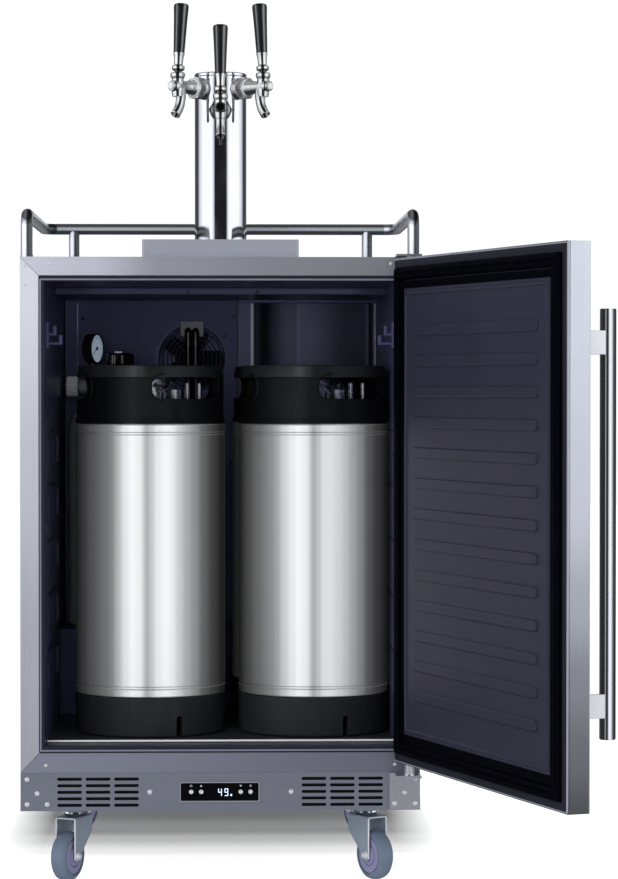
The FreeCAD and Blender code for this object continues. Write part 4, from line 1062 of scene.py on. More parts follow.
# Front, back and bevel of the raised marks on its window.
RAISED = (FRONT - 0.00135, FRONT - 0.0011, 0.00005)


def seven_segments(lit, x, z, height, thick):
    """Raised bars of one seven-segment figure on the window."""
    width = height * 0.52
    half = height / 2
    bars = {
        "a": (x, x + width, z + height - thick, z + height),
        "g": (x, x + width, z + half - thick / 2, z + half + thick / 2),
        "d": (x, x + width, z, z + thick),
        "f": (x, x + thick, z + half, z + height),
        "b": (x + width - thick, x + width, z + half, z + height),
        "e": (x, x + thick, z, z + half),
        "c": (x + width - thick, x + width, z, z + half),
    }
    gap = thick * 0.2
    parts = []
    for key in lit:
        x0, x1, z0, z1 = bars[key]
        parts.append(pad(x0 + gap, x1 - gap, z0 + gap, z1 - gap, thick * 0.3, *RAISED, 2, 1))
    return parts


def triangle(x, z, size, up):
    """A small raised arrow on the window."""
    sign = 1 if up else -1
    outline = [(x - size, z - sign * size * 0.6), (x + size, z - sign * size * 0.6),
               (x, z + sign * size * 0.9)]
    return plate(outline, FRONT - 0.0014, FRONT - 0.0011, 0.00005)


def controller():
    """Window, bezel, figures, icons and buttons."""
    paint("controller_bezel", "chrome")
    paint("controller_screen", "screen")
    digits = []
    for lit, x in (("bcfg", CONTROL_X - 0.0025), ("abcdfg", CONTROL_X + 0.0070)):
        digits += seven_segments(lit, x, PANEL_Z - 0.0065, 0.0120, 0.0019)
    point_x, point_z = CONTROL_X + 0.0160, PANEL_Z - 0.0063
    digits.append(pad(point_x, point_x + 0.0028, point_z, point_z + 0.0031, 0.0012, *RAISED, 3, 1))
    build("controller_figures", digits, "cabinet", "digit")
    icons = [triangle(-0.0292, 0.1482, 0.0018, True), triangle(0.0302, 0.1482, 0.0018, False)]
    for x in (-0.0442, 0.0450):
        for n in range(6):
            turn = Matrix.Translation((x, 0, 0.1482)) @ Matrix.Rotation(math.pi / 3 * n, 4, "Y")
            ray = slab(-0.00025, 0.00025, RAISED[0], RAISED[1], 0.0006, 0.0020, 0.00004, 1)
            icons.append(moved_part(ray, turn))
    build("controller_icons", icons, "cabinet", "icon")
    for name, x in (("light", -0.0442), ("up", -0.0292), ("down", 0.0302), ("mode", 0.0450)):
        profile = mm([(0.3, 0.4), (1.6, 0.6), (2.2, 1), (2.6, 1), (3.1, 0.7), (3.4, 0.1), (3.5, -0.8),
                      (3.5, -4.6)])
        part = moved_part(solid_lathe(profile, 40), facing((x, FRONT - 0.0012, PANEL_Z), (0, -1, 0)))
        build("button_cap_" + name, [part], "button_" + name, "bright_steel", "button_" + name)


# Guard rail


def guard_rail():
    """Bent tube with its posts and turned feet."""
    corners = [(-RAIL_X, RAIL_FRONT, DECK_Z), (-RAIL_X, RAIL_FRONT, RAIL_Z), (-RAIL_X, RAIL_BACK, RAIL_Z),
               (RAIL_X, RAIL_BACK, RAIL_Z), (RAIL_X, RAIL_FRONT, RAIL_Z), (RAIL_X, RAIL_FRONT, DECK_Z)]
    parts = [tube(rounded_path(corners, RAIL_BEND), RAIL_R, 40)]
    flange = mm([(0, 0.2), (7, 0.2), (7, 1.8), (5.8, 3), (2.2, 3.4), (1.4, 5.2), (0, 5.6)])
    flange = lathe(shifted(flange, RAIL_R, 0.0), 48)
    collar = mm([(-0.5, 0), (0.6, 0), (0.6, 3.5), (-0.5, 4.2)])
    collar = lathe(shifted(collar, RAIL_R, 0.0), 48)
    for side in (-1, 1):
        post_x = side * RAIL_POST_X
        post = [(post_x, RAIL_BACK, DECK_Z), (post_x, RAIL_BACK, RAIL_Z - 0.004)]
        parts.append(tube(post, RAIL_R * 0.97, 40))
        parts.append(moved_part(flange, Matrix.Translation(post[0])))
        foot = Matrix.Translation((side * (RAIL_X - 0.0002), RAIL_FRONT, DECK_Z))
        parts.append(moved_part(collar, foot))
    build("deck_rail", parts, "cabinet", "rail_plate", "guard_rail")


# Draught tower


def tower():
    """Column, flange and cap."""
    height = TOWER_TOP - DECK_Z
    column = mm([(-2, 0), (15, 0), (15, 3), (13, 4.8), (1.5, 5.2), (0.4, 6), (0, 7.8)])
    column = shifted(column + [(0.0, height), (-0.002, height)], TOWER_R, 0.0)
    part = moved_part(lathe(column, 160), Matrix.Translation((0, TOWER_Y, DECK_Z)))
    build("tower_tube", [part], "cabinet", "chrome", "tower_column", smooth=30)
    cap = mm([(0.5, 8.2), (20, 8), (34, 7.2), (38.5, 6), (40.8, 6.2), (42, 5.2), (42.3, 3.5), (42.3, 1.2),
              (41.6, 0.2), (40, 0)])
    part = moved_part(solid_lathe(cap, 160), Matrix.Translation((0, TOWER_Y, TOWER_TOP)))
    build("tower_lid", [part], "cabinet", "chrome", "tower_cap", smooth=30)


def faucet_casting(z):
    """Shank, coupling nut, body, bonnet and vent as parts, and the six flats of the nut."""
    toward = facing((0, 0, z), (0, -1, 0))
    collar = mm([(10, 38.5), (16, 38.5), (16.8, 40), (16.8, 45), (15.8, 47), (13.2, 48), (13.2, 49.2),
                 (15, 50), (15.8, 51.2), (15.8, 60), (15, 61.2), (11.8, 62), (11, 63.6), (11, 70), (10.4, 73),
                 (9.6, 78), (9.4, 85), (9.6, 90), (10, 96), (9.6, 102), (8.4, 104.8), (7.2, 105.6),
                 (7.2, 106.6), (8, 107), (8.2, 108.8), (7.6, 109.8), (6.8, 109.9), (6.4, 109), (5.8, 109),
                 (5.6, 110.2), (4.8, 110.8), (0.4, 111)])
    bonnet = mm([(6.6, -16), (8.6, -16), (9.4, -11), (9.8, -4), (9.6, 4), (9.4, 10), (9.6, 12.2),
                 (10.6, 13.4), (11.4, 14.8), (11.7, 16.6), (11.7, 18.4), (11.4, 20), (10.6, 21.2),
                 (9.4, 21.9), (8.6, 22), (7.6, 15), (6.6, 6)])
    vent = mm([(1.2, 0), (2.1, 0), (2.1, 6), (1.2, 6.4)])
    parts = [moved_part(solid_lathe(collar, 64), toward)]
    for n in range(6):
        turn = toward @ Matrix.Rotation(math.pi / 3 * n, 4, "Z")
        parts.append(moved_part(slab(-0.0084, 0.0084, 0.0132, 0.0163, 0.0505, 0.0606, 0.0008, 2), turn))
    parts.append(moved_part(lathe(bonnet, 64), Matrix.Translation((0, -PIVOT_OUT, z))))
    parts.append(moved_part(lathe(vent, 24), facing((0, 0.0015 - PIVOT_OUT, z - 0.026), (0, 0.35, -1))))
    return parts


def faucet_spout(z):
    """The bent spout and its rolled lip."""
    bends = mm([(4, -2), (6.5, -12), (6, -23), (2, -35), (-5.5, 0.8 - SPOUT_DROP * 1000)])
    path = smooth_path([(0, y, up) for y, up in shifted(bends, -PIVOT_OUT, z)], 8)
    radii = [SPOUT_R + 0.0020 * max(0, 1 - i / (len(path) * 0.45)) for i in range(len(path))]
    lip = mm([(-1.6, -12), (0, -1.6), (0.4, -0.4), (-0.2, 0.4), (-1.2, 0.2), (-1.8, -10)])
    lip = shifted(lip, SPOUT_R, 0.0)
    return [tube(path, radii, 40, False), moved_part(lathe(lip, 40), facing(path[-1], path[-1] - path[-2]))]


def faucet(name, angle, z):
    """Casting, front plug, lever, ferrule and grip of one faucet."""
    place = Matrix.Translation((0, TOWER_Y, 0)) @ Matrix.Rotation(math.radians(angle), 4, "Z")
    pivot = Matrix.Translation((0, -PIVOT_OUT, z + PIVOT_UP)) @ Matrix.Rotation(-LEVER_LEAN, 4, "X")
    title = "faucet_" + name
    body = "tap_" + name
    casting = moved_parts(faucet_casting(z) + faucet_spout(z), place)
    build(title + "_casting", casting, "cabinet", "tap_plate", title + "_body", smooth=35)
    plug = mm([(0.3, 111.4), (5, 111.3), (5.6, 110.8), (5.7, 109.8)])
    plug = moved_part(solid_lathe(plug, 40), place @ facing((0, 0, z), (0, -1, 0)))
    build(title + "_plug", [plug], "cabinet", "bright_steel" if angle else "gloss_black", smooth=35)
    stem = mm([(0.4, -7.8), (4, -6.8), (6.8, -3.6), (7.4, 0), (6.6, 4), (4.6, 6.4), (3.6, 8), (5.6, 10.4),
               (6.6, 12.4), (8.6, 13), (9.8, 14.4), (10.2, 16.2), (10.2, 17.8), (9.8, 19.4), (8.6, 20.6),
               (7, 21.2), (3.4, 21.4), (3.4, 38), (0.4, 38.4)])
    build(title + "_stem", [moved_part(solid_lathe(stem, 64), place @ pivot)], body, "tap_plate",
          title + "_lever", smooth=35)
    ferrule = mm([(3.6, 21.6), (6.6, 21.6), (7, 22.6), (7.2, 28), (7.8, 34), (8.8, 38.6), (9.1, 39.8),
                  (9.1, 40.6), (3.6, 40.6)])
    build(title + "_ferrule", [moved_part(lathe(ferrule, 64), place @ pivot)], body, "tap_plate",
          title + "_handle", smooth=35)
    grip = mm([(3.6, 40.4), (8.2, 40.4), (8.7, 41), (8.8, 43.4), (9.2, 53), (10, 74.5), (10.9, 96),
               (11.7, 109.6), (11.9, 113.6), (11.5, 116), (10.4, 117.6), (8.5, 118.4), (0.4, 118.4)])
    build(title + "_grip", [moved_part(solid_lathe(grip, 64), place @ pivot)], body, "tap_grip",
          title + "_handle", smooth=35)


def drip_tray():
    """Carried-over tray and grille."""
    paint("drip_tray", "steel_across", 0.0006)
    paint("drip_grille", "satin_steel", 0.0004)


# Door


def door_panel(turn):
    """The inner liner: its sheet, the raised field with its rolled border, and the ribs pressed into it."""
    fit = 0.0013
    sheet = [pad(fit - HALF, HALF - fit, DOOR_LOW + fit, DOOR_HIGH - fit, 0.003, DOOR_BACK, DOOR_BACK - 0.003,
                 0.0008, 3),
             pad(-0.258, 0.258, 0.228, 0.896, 0.010, DOOR_BACK + 0.0040, DOOR_BACK - 0.0005, 0.0020, 6)]
    border = shifted(mm([(0, 3.8), (1, 5.8), (4, 6.2), (5.2, 5), (5.8, 3.8)]), 0.0, DOOR_BACK)
    sheet.append(framed_strip(0.250, 0.236, 0.888, 0.008, border, 6))
    for n in range(RIBS):
        top = RIB_TOP - RIB_PITCH * n
        sheet.append(pad(-0.214, 0.2185, top - 0.016, top, 0.0078, DOOR_BACK + 0.0064, DOOR_BACK + 0.0035,
                         0.0018, 8))
    build("door_inner_panel", moved_parts(sheet, turn), "door", "door_liner", "door_liner", smooth=35)


def door_seals(turn):
    """Bright rim, bellows gasket, and the soft flaps outside and inside it."""
    rim = mm([(1.2, -1), (1.6, 1.2), (3, 1.2), (3.4, -1)])
    bellows = mm([(0, 0), (0, 2.5), (1.8, 4), (0.6, 5.8), (2.2, 8.6), (5, 9.2), (8, 9.2), (9.2, 7.4),
                  (10.8, 7.4), (12, 9.2), (15, 9.2), (17.6, 8.4), (18.6, 5.8), (17.2, 4.2), (19.2, 2.6),
                  (19.6, 0)])
    flap = mm([(1, 0), (1.2, 1.8), (6, 3), (12.8, 2.2), (13.4, 0)])
    skirt = mm([(33, 3.8), (33.5, 5), (44, 4.6), (44.6, 3.6)])
    pan = (HALF, DOOR_LOW, DOOR_HIGH, 0.003)
    inside = (HALF - 0.0022, DOOR_LOW + 0.0022, DOOR_HIGH - 0.0022, 0.004)
    for name, size, profile, steps, material, replaced in (
            ("door_rim", pan, rim, 3, "steel_across", ()),
            ("door_seal", (0.286, 0.1995, 0.925, 0.006), bellows, 5, "gasket", ("door_gasket",)),
            ("door_seal_flap", inside, flap, 4, "seal_flap", ()),
            ("door_seal_skirt", inside, skirt, 4, "gasket", ())):
        strip = framed_strip(*size, shifted(profile, 0.0, DOOR_BACK), steps)
        build(name, [moved_part(strip, turn)], "door", material, *replaced,
              smooth=40 if name == "door_rim" else 30)


def door_pull(turn):
    """Tube handle with flat ends on two square standoffs."""
    rim = HANDLE_R - 0.0010
    bar = [(0.0004, 0.0), (rim, 0.0), (HANDLE_R, 0.0010), (HANDLE_R, HANDLE_L - 0.0010), (rim, HANDLE_L),
           (0.0004, HANDLE_L)]
    stands = []
    for z in STANDOFFS:
        for half_x, half_z, y, bevel, rounds in ((0.008, 0.016, HANDLE.y + 0.002, 0.0012, 3),
                                                 (0.0105, 0.0185, DOOR_FACE - 0.0025, 0.0010, 2)):
            stands.append(slab(HANDLE.x - half_x, HANDLE.x + half_x, y, DOOR_FACE + 0.0002,
                               z - half_z, z + half_z, bevel, rounds))
    bar = moved_part(solid_lathe(bar, 72), turn @ Matrix.Translation(HANDLE))
    build("door_pull_bar", [bar], "door", "pull_plate", "door_handle", smooth=35)
    build("door_pull_stands", moved_parts(stands, turn), "door", "bright_steel", "door_handle", smooth=35)


def door():
    """Pan, liner, gasket and handle, modelled closed and swung to where the door stands."""
    turn = Matrix.Translation(HINGE) @ Matrix.Rotation(DOOR_OPEN, 4, "Z") @ Matrix.Translation(-HINGE)
    paint("door_pan", "door_steel")
    paint("door_foam", "foam")
    door_panel(turn)
    door_seals(turn)
    door_pull(turn)


# Kegs


def thirds(first):
    """Three turns about Z, a third of a circle apart, from a first angle in degrees."""
    return [Matrix.Rotation(math.radians(first + 120 * n), 4, "Z") for n in range(3)]


def hand_hole_rim(top):
    """A raised bead round one hand hole, bent to the collar's curve. The hole faces -Y."""
    half = HAND_HOLE_W / 2 + 0.002
    path = []
    for x, z in rounded_outline(-half, half, top + 0.036, top + 0.076, 0.017):
        depth = math.sqrt((COLLAR_R - 0.0006) ** 2 - x * x)
        path.append((x, -depth, z))
    return tube(path + path[:2], 0.0019, 12, False)


def keg_shell(top):
    """Profile of the steel barrel, with a rolled bead near each end."""
    r = KEG_R - 0.0006
    bead = mm([(0, -3.4), (0.4, -2.4), (-1.1, -1.2), (-1.1, 1.2), (0.4, 2.4), (0, 3.4)])
    profile = mm([(0.5, 22.5), (70, 26.2), (96, 40.2)]) + [(0.1038, BOOT_H + 0.001)]
    profile += shifted(mm([(-1.2, 1), (0, 2.4)]), r, BOOT_H)
    for z in (BOOT_H + 0.015, top - 0.015):
        profile += shifted(bead, r, z)
    profile += shifted(mm([(0, -2.4), (-1.2, -1)]), r, top) + [(0.1028, top - 0.001)]
    return profile + mm([(95.5, 501.8), (80, 509), (60, 513.7), (0.5, 514.8)])


def keg_valve():
    """Lugged neck of the beer valve."""
    neck = mm([(0.5, 510), (27, 510), (27, 538), (28.5, 540), (31.8, 540.8), (32.2, 546), (31.6, 548.8),
               (29, 549.2), (24, 549.2), (22.2, 548), (21.6, 544), (15, 543.2), (14.2, 546.2), (12, 546.8),
               (11, 544.6), (6, 546.2), (0.5, 546.6)])
    parts = [solid_lathe(neck, 64)]
    for n in range(4):
        turn = Matrix.Rotation(math.pi / 2 * n + 0.4, 4, "Z")
        parts.append(moved_part(slab(0.0235, 0.0340, -0.006, 0.006, 0.5412, 0.5452, 0.0008, 2), turn))
    return parts


def keg_bail():
    """Bent bail, relief valve and two pins on the top dish."""
    parts = [tube(smooth_path(mm([(8, -34, 541.5), (13, -37, 539.2), (26, -37, 525)]), 5), 0.0024, 16),
             tube(mm([(36, -12, 512), (36, -12, 533), (36, -12, 534.5)]), [0.016, 0.016, 0.0145], 32)]
    for out in (58, 77):
        pin = mm([(out, -22, 505), (out, -22, 543), (out, -22, 544.5)])
        parts.append(tube(pin, [0.0042, 0.0042, 0.0030], 20))
    return parts


def keg_rubber(name, title, profile, cutter, turns, bevel, place, material):
    """A rubber ring with three openings cut through it, moved to its keg."""
    piece = combined(title, [lathe(profile, 144)], 35)
    cut_away(piece, [moved_part(cutter, turn) for turn in turns], bevel)
    piece.data.transform(place)
    shade(piece, 35)
    finish(piece, "keg_" + name, material, "keg_%s_rubber" % name)


def keg(name, x, y):
    """Steel shell, valve, rubber collar and boot of one keg."""
    place = Matrix.Translation((x, y, FLOOR_Z))
    top = KEG_H - COLLAR_H
    body = title = "keg_" + name
    shell = moved_part(solid_lathe(keg_shell(top), 160), place)
    build(title + "_shell", [shell], body, "keg_steel", title + "_barrel", smooth=30)
    build(title + "_valve", moved_parts(keg_valve(), place), body, "satin_steel", title + "_barrel",
          smooth=35)
    build(title + "_bail", moved_parts(keg_bail(), place), body, "satin_steel", smooth=35)
    # The collar's top band is the collar rubber made lighter, with painted highlights.
    outside = shifted(mm([(0.2, -18.2), (0.4, -16.8), (-2.2, -4), (-3.6, -1), (-6, 0)]), COLLAR_R, 0.0)
    band = mm([(103, -18.2)]) + outside + mm([(105.5, 0), (103.6, -1.2), (103, -3.4)])
    band = shifted(band, 0.0, KEG_H)
    build(title + "_collar_band", [moved_part(lathe(band, 144), place)], body, "band_rubber", smooth=35)
    collar = shifted(mm([(103, 0), (116.5, 0), (117.2, 1.2), (116.8, 5)]), 0.0, top)
    collar += [(COLLAR_R + 0.0004, top + 0.0080), (COLLAR_R, top + 0.0120), (COLLAR_R, KEG_H - 0.0190),
               (COLLAR_R - 0.0030, KEG_H - 0.0180), (0.1030, KEG_H - 0.0180)]
    half = HAND_HOLE_W / 2
    hole = pad(-half, half, top + 0.038, top + 0.074, 0.0150, -0.1300, -0.0600, 0.0005, 8)
    turns = thirds(HAND_HOLE_TURN)
    keg_rubber(name, title + "_collar", collar, hole, turns, 0.0026, place, "keg_rubber")
    rims = [moved_part(hand_hole_rim(top), place @ turn) for turn in turns]
    build(title + "_hand_rims", rims, body, "keg_rubber")
    boot = mm([(106, 0), (113, 0), (116.2, 1.2), (117.4, 4)])
    boot += [(0.1174, BOOT_H - 0.0026), (0.1162, BOOT_H), (0.1042, BOOT_H), (0.1040, 0.0500)]
    half = NOTCH_W / 2
    notch = pad(-half, half, -0.010, 0.0320, 0.0040, -0.1300, -0.0950, 0.0002, 5)
    keg_rubber(name, title + "_boot", boot, notch, thirds(NOTCH_TURN), 0.0012, place, "boot_rubber")


# Cold air unit and gas supply


def cold_air_unit():
    """Cover with its ringed grille, fan, screws and the shroud round the fan."""
    paint("evaporator_cover", "cover", 0.0006)
    paint("evaporator_fan", "black_plastic", 0.0004)
    spots = mm([(-232, 862.5), (23, 865), (-103, 834), (7, 834), (-235, 620), (18, 620), (-74, 848),
                (-23, 848)])
    build("cover_screws", screws(spots, COVER_Y - 0.0002, 0.0034), "cabinet", "dark_plate")
    rim = shifted(mm([(-1, 0), (5, 0), (5, 2.2), (3, 4.2), (0, 4.6)]), FAN_R, 0.0)
    ring = moved_part(lathe(rim, 96), facing((FAN.x, COVER_Y, FAN.z), (0, -1, 0)))
    build("fan_shroud", [ring], "cabinet", "cover")


def drain_hoses():
    """Two ribbed black hoses side by side, with domed elbows and the bracket that holds them."""
    parts = []
    end = mm([(-0.5, -20), (0, -18), (0, 4)])
    dome = [(0.92, 0.0080), (0.66, 0.0112), (0.30, 0.0128)]
    profile = [(0.0005, HOSE_LOW)] + ribbed_wall(HOSE_R, 0.0009, HOSE_LOW, HOSE_TOP - 0.020, 0.0034)
    profile += shifted(end, HOSE_R, HOSE_TOP) + [(HOSE_R * share, HOSE_TOP + up) for share, up in dome]
    profile.append((0.0004, HOSE_TOP + 0.0130))
    for x in HOSES:
        parts.append(moved_part(solid_lathe(profile, 28), Matrix.Translation((x, HOSE_Y, 0))))
        stub = [(x, HOSE_Y, HOSE_TOP + 0.004), (x, COVER_Y - 0.004, HOSE_TOP + 0.004)]
        parts.append(tube(stub, HOSE_R * 0.92, 28))
    build("drain_hose_pair", parts, "cabinet", "gloss_black", "product_lines", smooth=35)
    centre = sum(HOSES) / 2
    bracket = pad(centre - 0.020, centre + 0.020, 0.8315, 0.8585, 0.003, COVER_Y - 0.0060, COVER_Y, 0.0012, 5)
    build("hose_bracket", [bracket], "cabinet", "bracket", "product_lines")


def lobed_knob(radius, lobes, depth, height):
    """A hand knob about +Z with rounded lobes and softened ends."""
    steps = 120
    layers = [(0.0, 0.90), (0.0015, 0.985), (0.0035, 1.0), (height - 0.0045, 1.0), (height - 0.0018, 0.97),
              (height - 0.0004, 0.88), (height, 0.76)]
    rings = []
    for z, scale in layers:
        ring = []
        for step in range(steps):
            angle = 2 * math.pi * step / steps
            r = (radius - depth * (0.5 - 0.5 * math.cos(lobes * angle)) ** 1.5) * scale
            ring.append((r * math.cos(angle), r * math.sin(angle), z))
        rings.append(ring)
    return skin(rings)


def hand_controls():
    """The regulator's lobed knob on its chromed stem, and the bottle's knurled handwheel."""
    stand = Matrix.Translation(KNOB)
    build("regulator_grip", [moved_part(lobed_knob(KNOB_R, 5, 0.006, KNOB_H), stand)], "regulator_knob",
          "gloss_black", "regulator_knob", smooth=50)
    nut = shifted(mm([(0.4, -1), (8, -1), (8, 2.4), (7, 3.4), (0.4, 3.6)]), 0.0, KNOB_H)
    build("regulator_nut", [moved_part(solid_lathe(nut, 6), stand)], "regulator_knob", "chrome")
    along_x = Matrix.Translation(HANDWHEEL) @ Matrix.Rotation(math.radians(-90), 4, "Y")
    build("bottle_handwheel", [moved_part(lobed_knob(HANDWHEEL_R, 20, 0.0016, HANDWHEEL_W), along_x)],
          "co2_handwheel", "grey_plastic", "co2_handwheel", smooth=50)
    hub = shifted(mm([(0.4, -1), (5.5, -1), (5.5, 1.6), (4.5, 2.2), (0.4, 2.2)]), 0.0, HANDWHEEL_W)
    build("handwheel_nut", [moved_part(solid_lathe(hub, 24), along_x)], "co2_handwheel", "brass")


def gas_supply():
    """Bottle, valve, regulator and gauge."""
    paint("co2_cylinder", "bottle", 0.0005)
    paint("regulator", "brass", 0.0008)
    turn = Matrix.Translation(GAUGE) @ Matrix.Rotation(math.radians(66), 4, "Z")
    turn = turn @ facing((0, 0, 0), (0, -1, 0))
    case = mm([(0.5, -9), (21, -9), (23.8, -7.8), (24.4, -5), (24.4, 6), (25, 6.6), (25, 8.6), (24, 9.4),
               (22.6, 9.2), (22.4, 6.6), (0.5, 6.4)])
    parts = [moved_part(solid_lathe(case, 72), turn)]
    socket = lathe(mm([(5.2, -30), (7, -30), (7, -22), (5.2, -22)]), 6)
    parts.append(moved_part(socket, Matrix.Translation(GAUGE)))
    build("gauge_case", parts, "cabinet", "black_plastic", "pressure_gauge", smooth=35)
    # The dial glows as painted light; it is no lamp.
    disc = moved_part(solid_lathe(mm([(0.5, 6.6), (22.2, 6.6), (22.2, 7.1), (0.5, 7.1)]), 72), turn)
    build("gauge_dial", [disc], "cabinet", "dial", "pressure_gauge")
    ticks = []
    for n in range(31):
        half_w, inner = (0.0003, 0.0148) if n % 5 == 0 else (0.00018, 0.0168)
        mark = slab(-half_w, half_w, inner, 0.0196, 0.0070, 0.00735, 0.00005, 1)
        ticks.append(moved_part(mark, turn @ Matrix.Rotation(math.radians(135 - 9 * n), 4, "Z")))
    build("gauge_ticks", ticks, "cabinet", "ink", "pressure_gauge")
    pointer = [slab(-0.0006, 0.0006, -0.0050, 0.0160, 0.0074, 0.0080, 0.0002, 1),
               solid_lathe(mm([(0.3, 7.2), (2.8, 7.2), (2.8, 8.6), (0.3, 9)]), 24)]
    pointer = moved_parts(pointer, turn @ Matrix.Rotation(math.radians(125), 4, "Z"))
    build("gauge_pointer", pointer, "cabinet", "needle", "pressure_gauge")


def machine_compartment():
    """Compressor, condenser and its fan."""
    paint("compressor", "compressor", 0.0012)
    paint("condenser", "coil")
    paint("condenser_fan", "black_plastic", 0.0003)


# Casters


def caster_fork(name, place):
    """Pressed fork with a swivel dish on top, and a bright tube along the sheared edge round its open side as
    a painted highlight.
    """
    wall = FORK_WALL
    inner = WHEEL_W / 2 + FORK_GAP
    fore = -TRAIL - 0.007
    aft = 0.022
    side = [(aft, FORK_TOP), (fore, FORK_TOP), (fore, WHEEL_R - 0.005), (fore + 0.003, WHEEL_R - 0.009),
            (fore + 0.010, WHEEL_R - 0.009), (fore + 0.015, WHEEL_R - 0.003), (aft, FORK_TOP - 0.024)]
    quarter = Matrix.Rotation(math.pi / 2, 4, "Z")
    parts = [moved_part(prism(side, y0, y0 + wall, 0.0005), place @ quarter) for y0 in (inner, -inner - wall)]
    crown = slab(-inner - wall, inner + wall, fore, aft, FORK_TOP - wall, FORK_TOP, 0.0008)
    parts.append(moved_part(crown, place))
    body = "caster_" + name
    build(name + "_fork_plates", parts, body, "zinc", "caster_%s_fork" % name)
    half = inner + wall / 2
    arch = [(-half, fore, WHEEL_R - 0.005), (-half, fore, FORK_TOP - wall / 2),
            (half, fore, FORK_TOP - wall / 2), (half, fore, WHEEL_R - 0.005)]
    # A bright tube on the sheared edge: painted highlight.
    edge = moved_part(tube(rounded_path(arch, 0.003), 0.0013, 16), place)
    build(name + "_fork_highlight_edge", [edge], body, "bright_steel")
    dish = [(0.0062, FORK_TOP - 0.0002), (0.0150, FORK_TOP - 0.0002), (0.0185, FORK_TOP + 0.0016),
            (0.0200, FORK_TOP + 0.0042), (0.0196, FORK_TOP + 0.0066), (0.0062, FORK_TOP + 0.0070)]
    build(name + "_swivel_dish", [moved_part(lathe(dish, 64), place)], body, "chrome", smooth=35)


def mirrored(profile, half):
    """A wheel's whole profile from one side's, whose second numbers are insets from the side face."""
    return [(r, inset - half) for r, inset in profile] + [(r, half - inset) for r, inset in reversed(profile)]


def caster(name, x, y, angle):
    """Fork and wheel of one caster."""
    place = Matrix.Translation((x, y, 0)) @ Matrix.Rotation(math.radians(angle), 4, "Z")
    caster_fork(name, place)
    axle = place @ Matrix.Translation((0, -TRAIL, WHEEL_R)) @ Matrix.Rotation(math.pi / 2, 4, "Y")
    half = WHEEL_W / 2
    shoulder = [(0.0285, 0.0020), (0.0290, 0.0), (0.0310, 0.0), (WHEEL_R - 0.0048, 0.0008),
                (WHEEL_R - 0.0022, 0.0030), (WHEEL_R - 0.0007, 0.0066), (WHEEL_R, half * 0.85)]
    tread = mirrored(shoulder, half)
    node = "caster_%s_wheel" % name
    build(name + "_tyre", [moved_part(lathe(tread, 96), axle)], "wheel_" + name, "tyre", node, smooth=35)
    disc = mm([(4.1, -0.6), (8.8, -0.6), (9.4, 0.2), (15, 0.6), (15.4, 2.6), (16.8, 2.6), (17.2, 0.8),
               (26.2, 0.8), (26.6, 2.6), (28.6, 2.6)])
    core = mirrored(disc, half)
    build(name + "_hub", [moved_part(lathe(core, 96), axle)], "wheel_" + name, "hub", node, smooth=35)
    nut = solid_lathe(mm([(0.4, -0.5), (6, -0.5), (6, 1), (4.6, 1.4), (4.6, 4), (3.6, 5.2), (0.4, 5.6)]), 24)
    outward = Matrix.Translation((0, 0, half + FORK_GAP + FORK_WALL))
    sides = (Matrix.Rotation(math.pi, 4, "X") @ outward, outward)
    nuts = [moved_part(nut, axle @ side) for side in sides]
    build(name + "_axle_nuts", nuts, "caster_" + name, "bright_steel")


def casters():
    """All four casters and their top plates' bolts."""
    paint("caster_plates", "zinc", 0.0006)
    heads = []
    for name, (x, y, angle) in CASTERS.items():
        caster(name, x, y, angle)
        for dx in (-0.022, 0.022):
            for dy in (-0.022, 0.022):
                heads.append(screw((x + dx, y + dy, BASE_Z - 0.0031), (0, 0, -1), 0.0052))
    build("plate_bolts", heads, "cabinet", "bright_steel")


# Stage, light and camera

# The camera: its place, its tilt down and turn to the right in degrees, and its lens in millimetres.
EYE = (0.00675, FRONT - 4.485, 0.7466)
EYE_TILT = 1.0
EYE_TURN = 1.61
LENS = 122.5

# Power, place and size of each lamp, and the spot it points at.
LAMPS = {
    "key": (26, (-1.6, -3.4, 2.6), (1.6, 1.6), (0, -0.3, 0.6)),
    "inside_fill": (9, (-0.6, -3.2, 1.1), (1.2, 1.0), (0, 0, 0.6)),
}
CAVITY_LAMPS = {
    "cavity_left": (20, (-1.0, -3.7, 1.0), (0.35, 1.6), (0, 0.2, 0.75)),
    "cavity_right": (20, (0.75, -4.2, 1.0), (0.35, 1.6), (0, 0.2, 0.75)),
}
KEG_LAMPS = {
    "keg_flank_left": (60, (-3.5, -2.6, 0.8), (1.0, 2.0), (0, -0.1, 0.5)),
    "keg_flank_right": (82, (3.5, -2.6, 0.8), (1.0, 2.0), (0, -0.1, 0.5)),
}

# The pieces that the cavity's own lamps light.
CAVITY_PIECES = ("liner_shell", "liner_recess", "liner_lintel", "ceiling_bulkhead", "ceiling_screws",
                 "cover_screws", "gauge_dial", "gauge_case", "regulator_grip", "regulator_nut",
                 "bottle_handwheel", "drain_hose_pair", "hose_bracket", "fan_shroud", "shelf_cleats",
                 "liner_cove", "liner_bead_left", "liner_bead_pillar", "liner_bead_right", "liner_floor")


